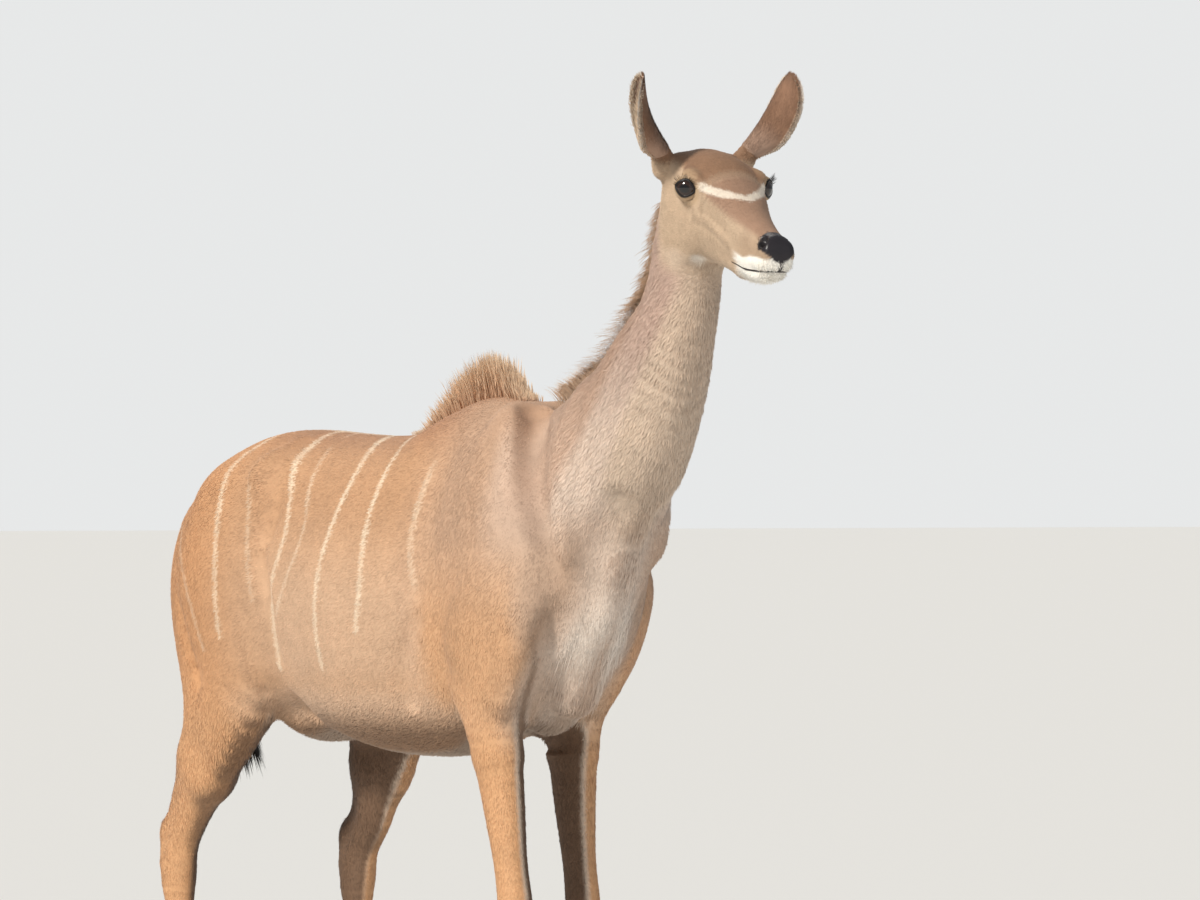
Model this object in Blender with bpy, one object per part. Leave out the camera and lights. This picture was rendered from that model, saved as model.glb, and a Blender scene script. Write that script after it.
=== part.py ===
"""Greater kudu cow, standing with her head raised, at life size.

Metres, +Z up. She faces +X and her right side is at -Y. The flesh is one smooth form:
lofted tubes and rounded muscles that melt into each other. Thin cuts part it into head,
neck, torso and legs. Ears, eyes, tail, hooves and the locks of the crest, mane and tail
are modelled on that form.
"""

import math
import random

import bmesh
import bpy
import numpy as np
from mathutils import Matrix, Vector

SEED = 7
GAP = 0.0003  # the clear space that neighbouring pieces keep
WELD = 0.000004
SPARE = 0.014  # how far a piece is modelled beyond its cuts before it is thinned out and cut

# Grid steps of the flesh, and the triangles that each piece keeps.
TORSO_STEP = 0.014
NECK_STEP = 0.011
LEG_STEP = 0.0085
HEAD_STEP = 0.0048
TORSO_TRIANGLES = 1900
NECK_TRIANGLES = 620
HEAD_TRIANGLES = 1700
UPPER_LEG_TRIANGLES = 260
LOWER_LEG_TRIANGLES = 320

# The grids' lowest and highest corners.
TORSO_BOX = ((-0.74, -0.26, 0.58), (0.82, 0.26, 1.40))
NECK_BOX = ((0.36, -0.20, 0.80), (1.06, 0.20, 1.72))
HEAD_BOX = ((0.80, -0.18, 1.36), (1.29, 0.18, 1.78))
FORELEG_X = (0.24, 0.58)
HINDLEG_X = (-0.80, -0.10)
LEG_Y = (0.020, 0.20)
HEAD_FROM = 0.78  # the head's forms matter only in front of this x
HEAD_BLEND = 0.035

# Trunk: x, top line, widest level, belly line, half width.
TRUNK = (
    (-0.648, 1.050, 1.000, 0.940, 0.046),
    (-0.634, 1.098, 0.985, 0.870, 0.096),
    (-0.594, 1.152, 0.975, 0.815, 0.144),
    (-0.500, 1.203, 0.970, 0.780, 0.182),
    (-0.410, 1.222, 0.975, 0.760, 0.190),
    (-0.300, 1.224, 0.975, 0.735, 0.186),
    (-0.180, 1.218, 0.950, 0.695, 0.190),
    (-0.040, 1.214, 0.925, 0.672, 0.204),
    (0.080, 1.222, 0.920, 0.667, 0.206),
    (0.180, 1.254, 0.920, 0.671, 0.194),
    (0.280, 1.278, 0.925, 0.684, 0.174),
    (0.380, 1.274, 0.930, 0.708, 0.154),
    (0.470, 1.236, 0.940, 0.742, 0.138),
    (0.550, 1.170, 0.950, 0.790, 0.122),
    (0.605, 1.110, 0.950, 0.840, 0.098),
    (0.640, 1.050, 0.950, 0.888, 0.066),
)
TRUNK_END = 0.016  # how far the trunk is rounded off beyond its first and last rows
# Neck: x, y, z, half width, half depth.
NECK = (
    (0.400, 0.0, 1.060, 0.100, 0.120),
    (0.520, 0.0, 1.092, 0.108, 0.155),
    (0.634, 0.0, 1.145, 0.100, 0.154),
    (0.736, 0.0, 1.222, 0.088, 0.135),
    (0.816, 0.0, 1.316, 0.076, 0.112),
    (0.866, 0.0, 1.385, 0.063, 0.090),
    (0.893, 0.0, 1.450, 0.056, 0.080),
    (0.906, 0.0, 1.520, 0.053, 0.072),
    (0.922, 0.0, 1.580, 0.050, 0.058),
)
# Head frame: the midpoint between the eyes, its turn to the right and its tip downwards.
EYE_MIDDLE = Vector((1.017, 0.006, 1.617))
HEAD_YAW = math.radians(-5)
HEAD_PITCH = math.radians(14)
# Skull and mandible: forward, sideways, up in the head's frame, half width, half depth.
SKULL = (
    (-0.112, 0.0, -0.022, 0.050, 0.036),
    (-0.090, 0.0, -0.010, 0.060, 0.050),
    (-0.040, 0.0, -0.006, 0.066, 0.052),
    (0.000, 0.0, -0.011, 0.067, 0.049),
    (0.045, 0.0, -0.026, 0.057, 0.042),
    (0.090, 0.0, -0.042, 0.045, 0.037),
    (0.130, 0.0, -0.053, 0.038, 0.034),
    (0.170, 0.0, -0.060, 0.0325, 0.031),
    (0.200, 0.0, -0.064, 0.0310, 0.030),
    (0.216, 0.0, -0.068, 0.0280, 0.027),
)
CHEEK = (
    (-0.050, 0.0, -0.050, 0.058, 0.050),
    (0.010, 0.0, -0.062, 0.055, 0.044),
    (0.060, 0.0, -0.072, 0.043, 0.034),
    (0.110, 0.0, -0.080, 0.0350, 0.029),
    (0.165, 0.0, -0.086, 0.0345, 0.025),
)
MANDIBLE = (
    (-0.062, 0.0, -0.070, 0.044, 0.046),
    (-0.020, 0.0, -0.083, 0.045, 0.043),
    (0.030, 0.0, -0.095, 0.037, 0.033),
    (0.080, 0.0, -0.103, 0.029, 0.025),
    (0.130, 0.0, -0.110, 0.027, 0.022),
    (0.170, 0.0, -0.108, 0.028, 0.021),
    (0.204, 0.0, -0.101, 0.024, 0.017),
)
EYE_RADIUS = 0.0210
EYE_PLACE = (-0.004, 0.0650, -0.006)
ORBIT_SIDE = 0.0600
NOSE_PLACE = (0.216, 0.0, -0.058)
NOSE_SIZE = (0.0205, 0.0270, 0.0225)

# Foreleg from the blade's top down: x from the leg's own elbow, y outwards, z, half width, half depth.
FORELEG = (
    (0.020, 0.068, 1.215, 0.030, 0.050),
    (0.025, 0.098, 1.120, 0.040, 0.090),
    (0.045, 0.112, 1.020, 0.048, 0.112),
    (0.060, 0.118, 0.930, 0.054, 0.118),
    (0.035, 0.114, 0.845, 0.054, 0.104),
    (0.005, 0.102, 0.765, 0.050, 0.076),
    (0.010, 0.093, 0.680, 0.042, 0.056),
    (0.025, 0.089, 0.590, 0.036, 0.044),
    (0.042, 0.087, 0.500, 0.029, 0.034),
    (0.055, 0.086, 0.435, 0.030, 0.033),
    (0.058, 0.086, 0.395, 0.031, 0.033),
    (0.056, 0.086, 0.345, 0.023, 0.025),
    (0.056, 0.086, 0.260, 0.0185, 0.021),
    (0.058, 0.086, 0.170, 0.0190, 0.0215),
    (0.060, 0.086, 0.120, 0.0260, 0.0270),
    (0.076, 0.086, 0.082, 0.0245, 0.0245),
    (0.092, 0.086, 0.046, 0.0290, 0.0320),
    (0.094, 0.086, 0.030, 0.0290, 0.0330),
)
FORE_X = {"right": 0.432, "left": 0.358}
# Hind leg: x relative to the hock, y outwards, z, half width, half depth.
HINDLEG_TOP = (
    (0.230, 0.105, 1.100, 0.060, 0.110),
    (0.240, 0.118, 1.000, 0.070, 0.150),
    (0.250, 0.124, 0.900, 0.070, 0.150),
    (0.260, 0.126, 0.810, 0.062, 0.120),
    (0.205, 0.120, 0.725, 0.054, 0.088),
    (0.125, 0.112, 0.640, 0.042, 0.062),
    (0.060, 0.107, 0.560, 0.031, 0.043),
)
HINDLEG_LOW = (
    (0.022, 0.105, 0.505, 0.027, 0.036),
    (0.004, 0.104, 0.450, 0.030, 0.040),
    (0.006, 0.103, 0.395, 0.024, 0.031),
    (0.010, 0.102, 0.310, 0.0195, 0.0235),
    (0.012, 0.102, 0.200, 0.0190, 0.0235),
    (0.014, 0.102, 0.125, 0.0260, 0.0285),
    (0.030, 0.102, 0.085, 0.0245, 0.0250),
    (0.046, 0.102, 0.046, 0.0290, 0.0320),
    (0.048, 0.102, 0.030, 0.0290, 0.0330),
)
HOCK_X = {"right": -0.665, "left": -0.400}
HIP_X = -0.400
HIP_HEIGHT = 1.00
GASKIN_FOOT = 0.56  # above it each hind leg leans over to the hip
# Back of the thigh, in the hind leg's own terms.
HAMSTRING = (
    (0.080, 0.084, 1.040, 0.050, 0.055),
    (0.085, 0.098, 0.960, 0.058, 0.066),
    (0.100, 0.108, 0.870, 0.056, 0.070),
    (0.116, 0.112, 0.780, 0.047, 0.060),
    (0.112, 0.112, 0.705, 0.037, 0.046),
    (0.072, 0.110, 0.640, 0.027, 0.032),
    (0.022, 0.108, 0.580, 0.018, 0.021),
    (-0.018, 0.105, 0.525, 0.0145, 0.017),
)
SIDES = {"right": -1, "left": 1}

# Thin cuts: where the neck leaves the trunk, the head the neck, and the legs the trunk.
NECK_CUT = ((0.500, 0.0, 1.285), (0.879, 0.0, 0.477))
HEAD_CUT = ((-0.122, 0.0, 0.030), (0.868, 0.0, 0.496))  # in the head's frame
FORE_CUT = 0.680
HIND_CUT = 0.662
KNEE_CUT = 0.400
HOCK_CUT = 0.462

# Hooves: two claws on each foot.
HOOF_TOP = 0.042
CLAW_LENGTH = 0.068
CLAW_WIDTH = 0.0265
CLAW_GAP = 0.0030
CLAW_LEAN = 0.011
CLAW_TOE = 0.56  # the share of a claw that lies before its widest place
CLAW_POINT = 0.42
# A claw's rings from the sole up: share of its height, share of its width, share of its lean.
CLAW_RINGS = ((0.0, 1.0, 0.0), (0.1, 1.03, 0.0), (0.6, 0.93, -0.4), (1.0, 0.82, -1.0))
CLAW_SIDES = 14
FORE_FOOT = (0.094, 0.086)
HIND_FOOT = (0.048, 0.102)
DEWCLAW_SIZE = (0.0105, 0.0085, 0.0150)
DEWCLAW_BACK = 0.055
DEWCLAW_HEIGHT = 0.100
DEWCLAW_SPREAD = 0.013

# Ears: root in the head's frame, then the leaf.
EAR_ROOT = (-0.092, 0.066, 0.008)
EAR_STUMP = 0.030
EAR_LENGTH = 0.142
EAR_WIDTH = 0.041
EAR_WALL = 0.0035
EAR_LEAN = {"right": (0.30, -0.50, 0.81), "left": (0.22, 0.50, 0.84)}
EAR_OPENING = {"right": (-0.35, -0.94, 0.0), "left": (-0.10, 0.99, 0.0)}

# Tail: x, y, z, half width, half depth, from its root down.
TAIL = (
    (-0.570, 0.0, 1.150, 0.030, 0.022),
    (-0.620, 0.0, 1.128, 0.025, 0.019),
    (-0.664, 0.0, 1.075, 0.021, 0.015),
    (-0.690, 0.0, 1.000, 0.018, 0.012),
    (-0.692, 0.0, 0.920, 0.015, 0.010),
    (-0.682, 0.0, 0.840, 0.013, 0.009),
    (-0.662, 0.0, 0.770, 0.011, 0.008),
    (-0.642, 0.0, 0.718, 0.009, 0.006),
)
TAIL_CUT = ((-0.642, 0.0, 1.106), (-0.64, 0.0, -0.77))

# Eyes, lids, nostrils and mouth, in the head's frame.
EYE_LOOK = (0.56, 0.82, 0.10)
LID_STEPS = 14
LID_LONG = math.radians(56)
LID_HIGH = math.radians(47)
LID_THICK = 0.0016
LID_BROAD = 0.0048
LID_SLOPE = math.radians(38)
NOSTRIL_WAY = (0.58, 0.78, 0.24)
NOSTRIL_SINK = 0.0005
NOSTRIL_SIZE = (0.0110, 0.0058, 0.0085)
NOSTRIL_TURN = math.radians(32)
NOSTRIL_TIP = math.radians(28)
MOUTH_CORNER = (0.118, 0.037, -0.1020)
MOUTH_FRONT = (0.2330, 0.0, -0.0905)
MOUTH_OPEN = 0.0026
MOUTH_STEPS = 20
MOUTH_SAG = 0.004
MOUTH_DEPTH = 0.0045
MOUTH_BEYOND = 0.020

# The ear's outline: width and roll of its cup from root to tip.
EAR_SHARE = (0.0, 0.10, 0.25, 0.45, 0.65, 0.82, 0.94, 1.0)
EAR_WIDTHS = (0.42, 0.52, 0.76, 0.98, 1.00, 0.86, 0.58, 0.24)
EAR_ROLL = (150, 136, 100, 72, 60, 54, 50, 46)
EAR_BOW = 0.010
EAR_SET = 0.016
EAR_ROWS = 9
EAR_COLUMNS = 8
EAR_CUTTER = (0.040, 0.050)

# Crest on the hump, from behind forwards: place, height and backward tilt in degrees.
CREST_COUNT = 14
CREST_ROWS = (-0.011, 0.0, 0.011)
CREST_BACK = 0.030
CREST_FRONT = 0.362
CREST_X = (0.03, 0.10, 0.18, 0.25, 0.31, 0.36, 0.39)
CREST_HEIGHT = (0.022, 0.040, 0.064, 0.078, 0.064, 0.042, 0.028)
CREST_TILT = (62, 48, 30, 10, 16, 26, 34)
CREST_WIDTH = 0.042
CREST_THICK = 0.012
# Mane down the nape: count, sideways places, where on the neck it starts and ends, and its length along it.
MANE_COUNT = 31
MANE_ROWS = (-0.006, 0.006, 0.0)
MANE_FROM = 0.22
MANE_TO = 0.92
MANE_SHARE = (0.0, 0.12, 0.3, 0.6, 1.0)
MANE_LENGTH = (0.058, 0.062, 0.058, 0.050, 0.040)
MANE_LEAN = (0.95, 1.45)
MANE_WIDTH = 0.036
MANE_THICK = 0.011
# Tail brush: locks round its back and sides, their length and their place round it in degrees.
TAIL_LOCKS = 21
TAIL_HAIR = 0.100
TAIL_ANGLES = (-82, 35, -30, 84, 0, -60, 65)
TAIL_FROM = 0.50
TAIL_WIDTH = 0.024
TAIL_THICK = 0.008
TAIL_SIDES = 8
TAIL_SPAN = 2
TAIL_ROOM = 0.004
# A lock: how deep its root sits, and its width at each ring from root to tip.
ROOT_SINK = 0.016
TAIL_SINK = 0.010
LOCK_SHARES = (0.85, 1.0, 0.86, 0.52)

# Colour and roughness of each finish.
FINISHES = {
    "coat": ((0.50, 0.33, 0.21), 0.75),
    "leg": ((0.56, 0.36, 0.20), 0.75),
    "ear": ((0.42, 0.27, 0.18), 0.75),
    "eye": ((0.02, 0.012, 0.008), 0.05),
    "tail": ((0.30, 0.20, 0.13), 0.80),
    "hoof": ((0.05, 0.045, 0.04), 0.45),
}

FAR = 10.0  # the field's value where nothing is near
PULL = 0.8  # the share of the way that a point is drawn to the surface each time
LEAST_SLOPE = 0.1


def smooth_rows(rows, per_span):
    """A Catmull-Rom curve through the rows, every column interpolated."""
    rows = np.array(rows, dtype=float)
    padded = np.vstack([2 * rows[0] - rows[1], rows, 2 * rows[-1] - rows[-2]])
    out = []
    for i in range(1, len(padded) - 2):
        before, start, end, after = padded[i - 1 : i + 3]
        for t in np.linspace(0, 1, per_span, endpoint=False):
            out.append(
                0.5
                * (
                    2 * start
                    + (end - before) * t
                    + (2 * before - 5 * start + 4 * end - after) * t * t
                    + (3 * start - before - 3 * end + after) * t**3
                )
            )
    out.append(rows[-1])
    return np.array(out)


def smooth_min(a, b, blend):
    reach = np.maximum(blend - np.abs(a - b), 0.0) / blend
    return np.minimum(a, b) - reach * reach * blend * 0.25


def ellipse_distance(parts, radii):
    """About how far points lie outside an ellipse or ellipsoid, given their parts along its axes."""
    unit = np.sqrt(sum((p / r) ** 2 for p, r in zip(parts, radii)))
    slope = np.sqrt(sum((p / r**2) ** 2 for p, r in zip(parts, radii)))
    return unit * (unit - 1) / np.maximum(slope, 1e-6)


def tube(points, path, side):
    """Distance to a tube whose rows hold x, y, z, half width along side, half depth."""
    best = np.full(len(points), FAR)
    for start, end in zip(path[:-1], path[1:]):
        axis = end[:3] - start[:3]
        length = np.linalg.norm(axis)
        axis = axis / length
        across = side - axis * np.dot(side, axis)
        across = across / np.linalg.norm(across)
        depth = np.cross(axis, across)
        rel = points - start[:3]
        along = rel @ axis
        t = np.clip(along / length, 0, 1)
        wide = start[3] + t * (end[3] - start[3])
        deep = start[4] + t * (end[4] - start[4])
        over = along - t * length
        parts = (rel @ across, rel @ depth, over)
        best = np.minimum(best, ellipse_distance(parts, (wide, deep, np.minimum(wide, deep))))
    return best


def ball(points, centre, radii, turn=None):
    """Distance to an ellipsoid; turn holds its axes as columns."""
    rel = points - np.array(centre)
    if turn is not None:
        rel = rel @ np.array(turn)
    return ellipse_distance((rel[:, 0], rel[:, 1], rel[:, 2]), radii)


def trunk(points):
    """Distance to the trunk, whose upper and lower halves have their own depth."""
    rows = smooth_rows(TRUNK, 8)
    x = points[:, 0]
    top, wide_at, bottom, wide = (np.interp(x, rows[:, 0], rows[:, i]) for i in range(1, 5))
    up = points[:, 2] - wide_at
    deep = np.where(up > 0, top - wide_at, wide_at - bottom)
    over = x - np.clip(x, rows[0, 0], rows[-1, 0])
    return ellipse_distance((points[:, 1], up, over), (wide, deep, np.full(len(x), TRUNK_END)))


def head_matrix():
    yaw = Matrix.Rotation(HEAD_YAW, 4, "Z")
    pitch = Matrix.Rotation(HEAD_PITCH, 4, "Y")
    return Matrix.Translation(EYE_MIDDLE) @ yaw @ pitch


def in_head(points):
    """World points in the head's frame: forward, left, up."""
    back = np.array(head_matrix().inverted())
    return points @ back[:3, :3].T + back[:3, 3]


def leg_rows(rows, x, sign):
    """A leg's rows in the world."""
    out = np.array(rows, dtype=float)
    out[:, 0] += x
    out[:, 1] *= sign
    return out


def leaning_rows(rows, side):
    """Rows of the hind leg, which stand at the hock below and lean from there to the shared hip."""
    out = leg_rows(rows, HOCK_X[side], SIDES[side])
    reach = np.clip((out[:, 2] - GASKIN_FOOT) / (HIP_HEIGHT - GASKIN_FOOT), 0, 1)
    out[:, 0] += (HIP_X - HOCK_X[side] - HINDLEG_TOP[1][0]) * reach
    return out


def hind_rows(side):
    low = leg_rows(HINDLEG_LOW, HOCK_X[side], SIDES[side])
    return np.vstack([leaning_rows(HINDLEG_TOP, side), low])


def pieces_of_flesh():
    """Every form of the flesh as (distance function, lowest corner, highest corner, blend)."""
    side = np.array((0.0, 1.0, 0.0))
    out = []

    def add(function, low, high, blend):
        out.append((function, np.array(low, dtype=float), np.array(high, dtype=float), blend))

    def add_tube(rows, blend, per_span=4, along=side):
        path = smooth_rows(rows, per_span)
        reach = path[:, 3:5].max(axis=1)[:, None]
        low = (path[:, :3] - reach).min(axis=0)
        high = (path[:, :3] + reach).max(axis=0)
        add(lambda p: tube(p, path, along), low, high, blend)

    def add_ball(centre, radii, blend, lean=0.0, yaw=0.0):
        turn = Matrix.Rotation(yaw, 3, "Z") @ Matrix.Rotation(lean, 3, "Y")
        reach = max(radii)
        low = np.array(centre) - reach
        high = np.array(centre) + reach
        add(lambda p: ball(p, centre, radii, turn), low, high, blend)

    add(trunk, (-0.70, -0.23, 0.62), (0.70, 0.23, 1.32), 0.03)
    add_tube(NECK, 0.09)
    for name, sign in SIDES.items():
        rows = leg_rows(FORELEG, FORE_X[name], sign)
        add_tube(rows[:7], 0.055)
        add_tube(rows[6:], 0.012)
        x = FORE_X[name]
        add_ball((x - 0.035, sign * 0.100, 0.790), (0.040, 0.034, 0.040), 0.04)
        add_ball((x + 0.034, sign * 0.086, 0.405), (0.016, 0.018, 0.024), 0.014)
        rows = hind_rows(name)
        add_tube(rows[:6], 0.06)
        add_tube(leaning_rows(HAMSTRING, name), 0.05)
        add_tube(rows[5:], 0.035)
        x = HOCK_X[name]
        # The point of the hock and the tendon that rises from it.
        add_tube(
            (
                (x - 0.026, sign * 0.104, 0.478, 0.015, 0.017),
                (x - 0.030, sign * 0.104, 0.510, 0.014, 0.015),
                (x - 0.020, sign * 0.105, 0.530, 0.014, 0.016),
            ),
            0.030,
        )
    add_tube(TAIL[:4], 0.02)
    # Hip bones and udder.
    add_ball((-0.265, -0.120, 1.125), (0.050, 0.036, 0.040), 0.06)
    add_ball((-0.265, 0.120, 1.125), (0.050, 0.036, 0.040), 0.06)
    add_ball((-0.300, 0.0, 0.735), (0.085, 0.075, 0.050), 0.05)
    # Breast bone and the fold of skin before it.
    add_ball((0.480, 0.0, 0.760), (0.090, 0.060, 0.060), 0.05, lean=math.radians(-35))
    return out


def flesh(points, pieces):
    """The body's distance field at the points."""
    field = np.full(len(points), FAR)
    for function, low, high, blend in pieces:
        margin = blend + 0.02
        near = np.all((points > low - margin) & (points < high + margin), axis=1)
        if near.any():
            field[near] = smooth_min(field[near], function(points[near]), blend)
    return field


def pieces_of_head():
    """The head's forms, in the head's frame."""
    side = np.array((0.0, 1.0, 0.0))
    skull = smooth_rows(SKULL, 5)
    mandible = smooth_rows(MANDIBLE, 5)
    cheek = smooth_rows(CHEEK, 5)
    forms = [
        (lambda p: tube(p, skull, side), 0.01),
        (lambda p: tube(p, mandible, side), 0.022),
        (lambda p: tube(p, cheek, side), 0.018),
        (lambda p: ball(p, NOSE_PLACE, NOSE_SIZE), 0.014),
        (lambda p: ball(p, (0.196, 0.0, -0.082), (0.038, 0.0350, 0.019)), 0.010),
        (lambda p: ball(p, (0.184, 0.0, -0.107), (0.030, 0.0265, 0.016)), 0.012),
    ]
    for sign in (-1, 1):
        eye = (EYE_PLACE[0], sign * ORBIT_SIDE, EYE_PLACE[2])
        forms += [
            (lambda p, e=eye: ball(p, e, (0.031, 0.0185, 0.0270)), 0.016),
            (lambda p, s=sign: ball(p, (-0.030, s * 0.041, -0.080), (0.048, 0.020, 0.048)), 0.03),
        ]
    for side_name in SIDES:
        stump = ear_stump(side_name)
        forms.append((lambda p, rows=stump: tube(p, rows, np.array((1.0, 0.0, 0.0))), 0.018))
    return forms


def to_head(vector):
    """A direction of the world in the head's frame."""
    return head_matrix().to_3x3().inverted() @ Vector(vector)


def ear_frame(side):
    """The ear's root, its lean, its opening and the way across it, in the world."""
    root = head_matrix() @ Vector((EAR_ROOT[0], SIDES[side] * EAR_ROOT[1], EAR_ROOT[2]))
    lean = Vector(EAR_LEAN[side]).normalized()
    opening = Vector(EAR_OPENING[side])
    opening = (opening - lean * opening.dot(lean)).normalized()
    return root, lean, opening, lean.cross(opening)


def ear_stump(side):
    """The short root of the ear on the skull, in the head's frame."""
    root = np.array((EAR_ROOT[0], SIDES[side] * EAR_ROOT[1], EAR_ROOT[2]))
    lean = np.array(to_head(ear_frame(side)[1]))
    inner = root - np.array((0.0, SIDES[side] * 0.020, 0.004))
    rows = ((inner, 0.028), (root, 0.023), (root + lean * (EAR_STUMP + 0.012), 0.0155))
    return np.array([(*place, radius, radius) for place, radius in rows])


def head_field(points, forms):
    local = in_head(points)
    field = np.full(len(points), FAR)
    for function, blend in forms:
        field = smooth_min(field, function(local), blend)
    return field


def surface_net(field, low, step, shape):
    """The zero surface of a field on a grid: a point in each cell it crosses, a square across each edge."""
    values = field.reshape(shape)
    inside = values < 0
    corners = [(i, j, k) for i in (0, 1) for j in (0, 1) for k in (0, 1)]
    count = sum(
        inside[i : shape[0] - 1 + i, j : shape[1] - 1 + j, k : shape[2] - 1 + k].astype(int)
        for i, j, k in corners
    )
    cells = np.argwhere((count > 0) & (count < 8))
    index = np.full(count.shape, -1)
    index[tuple(cells.T)] = np.arange(len(cells))
    total = np.zeros((len(cells), 3))
    hits = np.zeros(len(cells))
    for a in corners:
        for axis in range(3):
            if a[axis]:
                continue
            b = list(a)
            b[axis] = 1
            va = values[tuple((cells + a).T)]
            vb = values[tuple((cells + b).T)]
            cut = (va < 0) != (vb < 0)
            t = np.where(cut, va / np.where(cut, va - vb, 1), 0)
            place = np.array(a) + t[:, None] * (np.array(b) - a)
            total += place * cut[:, None]
            hits += cut
    points = low + step * (cells + total / hits[:, None])
    faces = []
    for axis in range(3):
        u, v = [(1, 2), (2, 0), (0, 1)][axis]
        ahead = [slice(None)] * 3
        behind = [slice(None)] * 3
        ahead[axis] = slice(1, None)
        behind[axis] = slice(None, -1)
        first, second = inside[tuple(behind)], inside[tuple(ahead)]
        for where, flip in ((first & ~second, False), (~first & second, True)):
            edges = np.argwhere(where)
            inner = (edges[:, u] > 0) & (edges[:, v] > 0)
            inner &= (edges[:, u] < shape[u] - 1) & (edges[:, v] < shape[v] - 1)
            edges = edges[inner]
            ring = []
            for du, dv in ((-1, -1), (0, -1), (0, 0), (-1, 0)):
                cell = edges.copy()
                cell[:, u] += du
                cell[:, v] += dv
                ring.append(index[tuple(cell.T)])
            quad = np.stack(ring, axis=1)
            faces.append(quad[:, ::-1] if flip else quad)
    return points, np.vstack(faces)


def grid_mesh(name, function, low, high, step):
    """A mesh of the zero surface of a function, drawn tight onto it."""
    low = np.array(low, dtype=float)
    shape = tuple(int(math.ceil((h - l) / step)) + 1 for l, h in zip(low, high))
    axes = [low[i] + step * np.arange(shape[i]) for i in range(3)]
    grid = np.stack(np.meshgrid(*axes, indexing="ij"), axis=-1).reshape(-1, 3)
    points, faces = surface_net(function(grid), low, step, shape)
    nudge = step / 4
    for _ in range(2):
        value = function(points)
        sides = []
        for way in np.eye(3) * nudge:
            sides.append((function(points + way) - function(points - way)) / (2 * nudge))
        slope = np.stack(sides, axis=1)
        size = np.maximum((slope**2).sum(axis=1), LEAST_SLOPE)
        move = -value[:, None] * slope / size[:, None]
        points = points + np.clip(move, -step, step) * PULL
    mesh = bpy.data.meshes.new(name)
    mesh.from_pydata(points.tolist(), [], faces.tolist())
    mesh.update()
    return mesh


def new_object(name, mesh):
    thing = bpy.data.objects.new(name, mesh)
    bpy.context.scene.collection.objects.link(thing)
    return thing


def apply_modifiers(thing):
    graph = bpy.context.evaluated_depsgraph_get()
    mesh = bpy.data.meshes.new_from_object(thing.evaluated_get(graph))
    thing.modifiers.clear()
    thing.data = mesh


def thin_out(thing, triangles):
    """Brings a mesh down to about this many triangles."""
    thing.data.calc_loop_triangles()
    modifier = thing.modifiers.new("thin_out", "DECIMATE")
    modifier.ratio = min(1.0, triangles / len(thing.data.loop_triangles))
    modifier.use_collapse_triangulate = True
    apply_modifiers(thing)


def whole(points, flesh_pieces, head_forms):
    """The field of the whole animal, head and flesh melted together."""
    field = flesh(points, flesh_pieces)
    near = points[:, 0] > HEAD_FROM
    field[near] = smooth_min(field[near], head_field(points[near], head_forms), HEAD_BLEND)
    return field


def cut_off(thing, place, normal):
    """Removes what lies beyond a plane on its normal's side, and closes the cut."""
    work = bmesh.new()
    work.from_mesh(thing.data)
    geometry = work.verts[:] + work.edges[:] + work.faces[:]
    bmesh.ops.bisect_plane(work, geom=geometry, plane_co=place, plane_no=normal, clear_outer=True)
    rim = [edge for edge in work.edges if edge.is_boundary]
    filled = bmesh.ops.holes_fill(work, edges=rim, sides=0)["faces"]
    bmesh.ops.triangulate(work, faces=filled)
    work.to_mesh(thing.data)
    work.free()


def volume_of(faces):
    """Six times the volume inside a closed set of triangles."""
    total = 0.0
    for face in faces:
        a, b, c = (vertex.co for vertex in face.verts)
        total += a.dot(b.cross(c))
    return total


def keep_largest(thing):
    """Keeps the largest closed surface of a mesh, with points that touch made one."""
    work = bmesh.new()
    work.from_mesh(thing.data)
    bmesh.ops.remove_doubles(work, verts=work.verts[:], dist=WELD)
    bmesh.ops.dissolve_degenerate(work, edges=work.edges[:], dist=WELD)
    bmesh.ops.triangulate(work, faces=work.faces[:])
    seen = set()
    islands = []
    for first in work.faces:
        if first in seen:
            continue
        seen.add(first)
        island = [first]
        for face in island:
            for edge in face.edges:
                for other in edge.link_faces:
                    if other not in seen:
                        seen.add(other)
                        island.append(other)
        islands.append(island)
    best = max(islands, key=volume_of)
    loose = [face for island in islands if island is not best for face in island]
    bmesh.ops.delete(work, geom=loose, context="FACES")
    work.to_mesh(thing.data)
    work.free()


def combine(thing, others, operation, solver="MANIFOLD"):
    """One Boolean of a thing with a collection of closed meshes, applied; the others are removed."""
    group = bpy.data.collections.new("operands")
    for other in others:
        group.objects.link(other)
    modifier = thing.modifiers.new("combine", "BOOLEAN")
    modifier.operation = operation
    modifier.operand_type = "COLLECTION"
    modifier.collection = group
    modifier.solver = solver
    bpy.context.view_layer.update()
    apply_modifiers(thing)
    for other in others:
        bpy.data.objects.remove(other)
    bpy.data.collections.remove(group)
    keep_largest(thing)


def ring_mesh(name, rings, tip=None):
    """A closed mesh from rings of points of one length, capped at its ends or drawn to a tip."""
    size = len(rings[0])
    points = [point for ring in rings for point in ring]
    faces = [tuple(reversed(range(size)))]
    for i in range(len(rings) - 1):
        for j in range(size):
            k = (j + 1) % size
            faces.append((i * size + j, i * size + k, (i + 1) * size + k, (i + 1) * size + j))
    last = (len(rings) - 1) * size
    if tip is None:
        faces.append(tuple(range(last, last + size)))
    else:
        points.append(tip)
        faces += [(last + j, last + (j + 1) % size, len(points) - 1) for j in range(size)]
    mesh = bpy.data.meshes.new(name)
    mesh.from_pydata([tuple(p) for p in points], [], faces)
    work = bmesh.new()
    work.from_mesh(mesh)
    bmesh.ops.recalc_face_normals(work, faces=work.faces[:])
    if work.calc_volume(signed=True) < 0:
        bmesh.ops.reverse_faces(work, faces=work.faces[:])
    bmesh.ops.triangulate(work, faces=work.faces[:])
    work.to_mesh(mesh)
    work.free()
    return mesh


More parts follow.
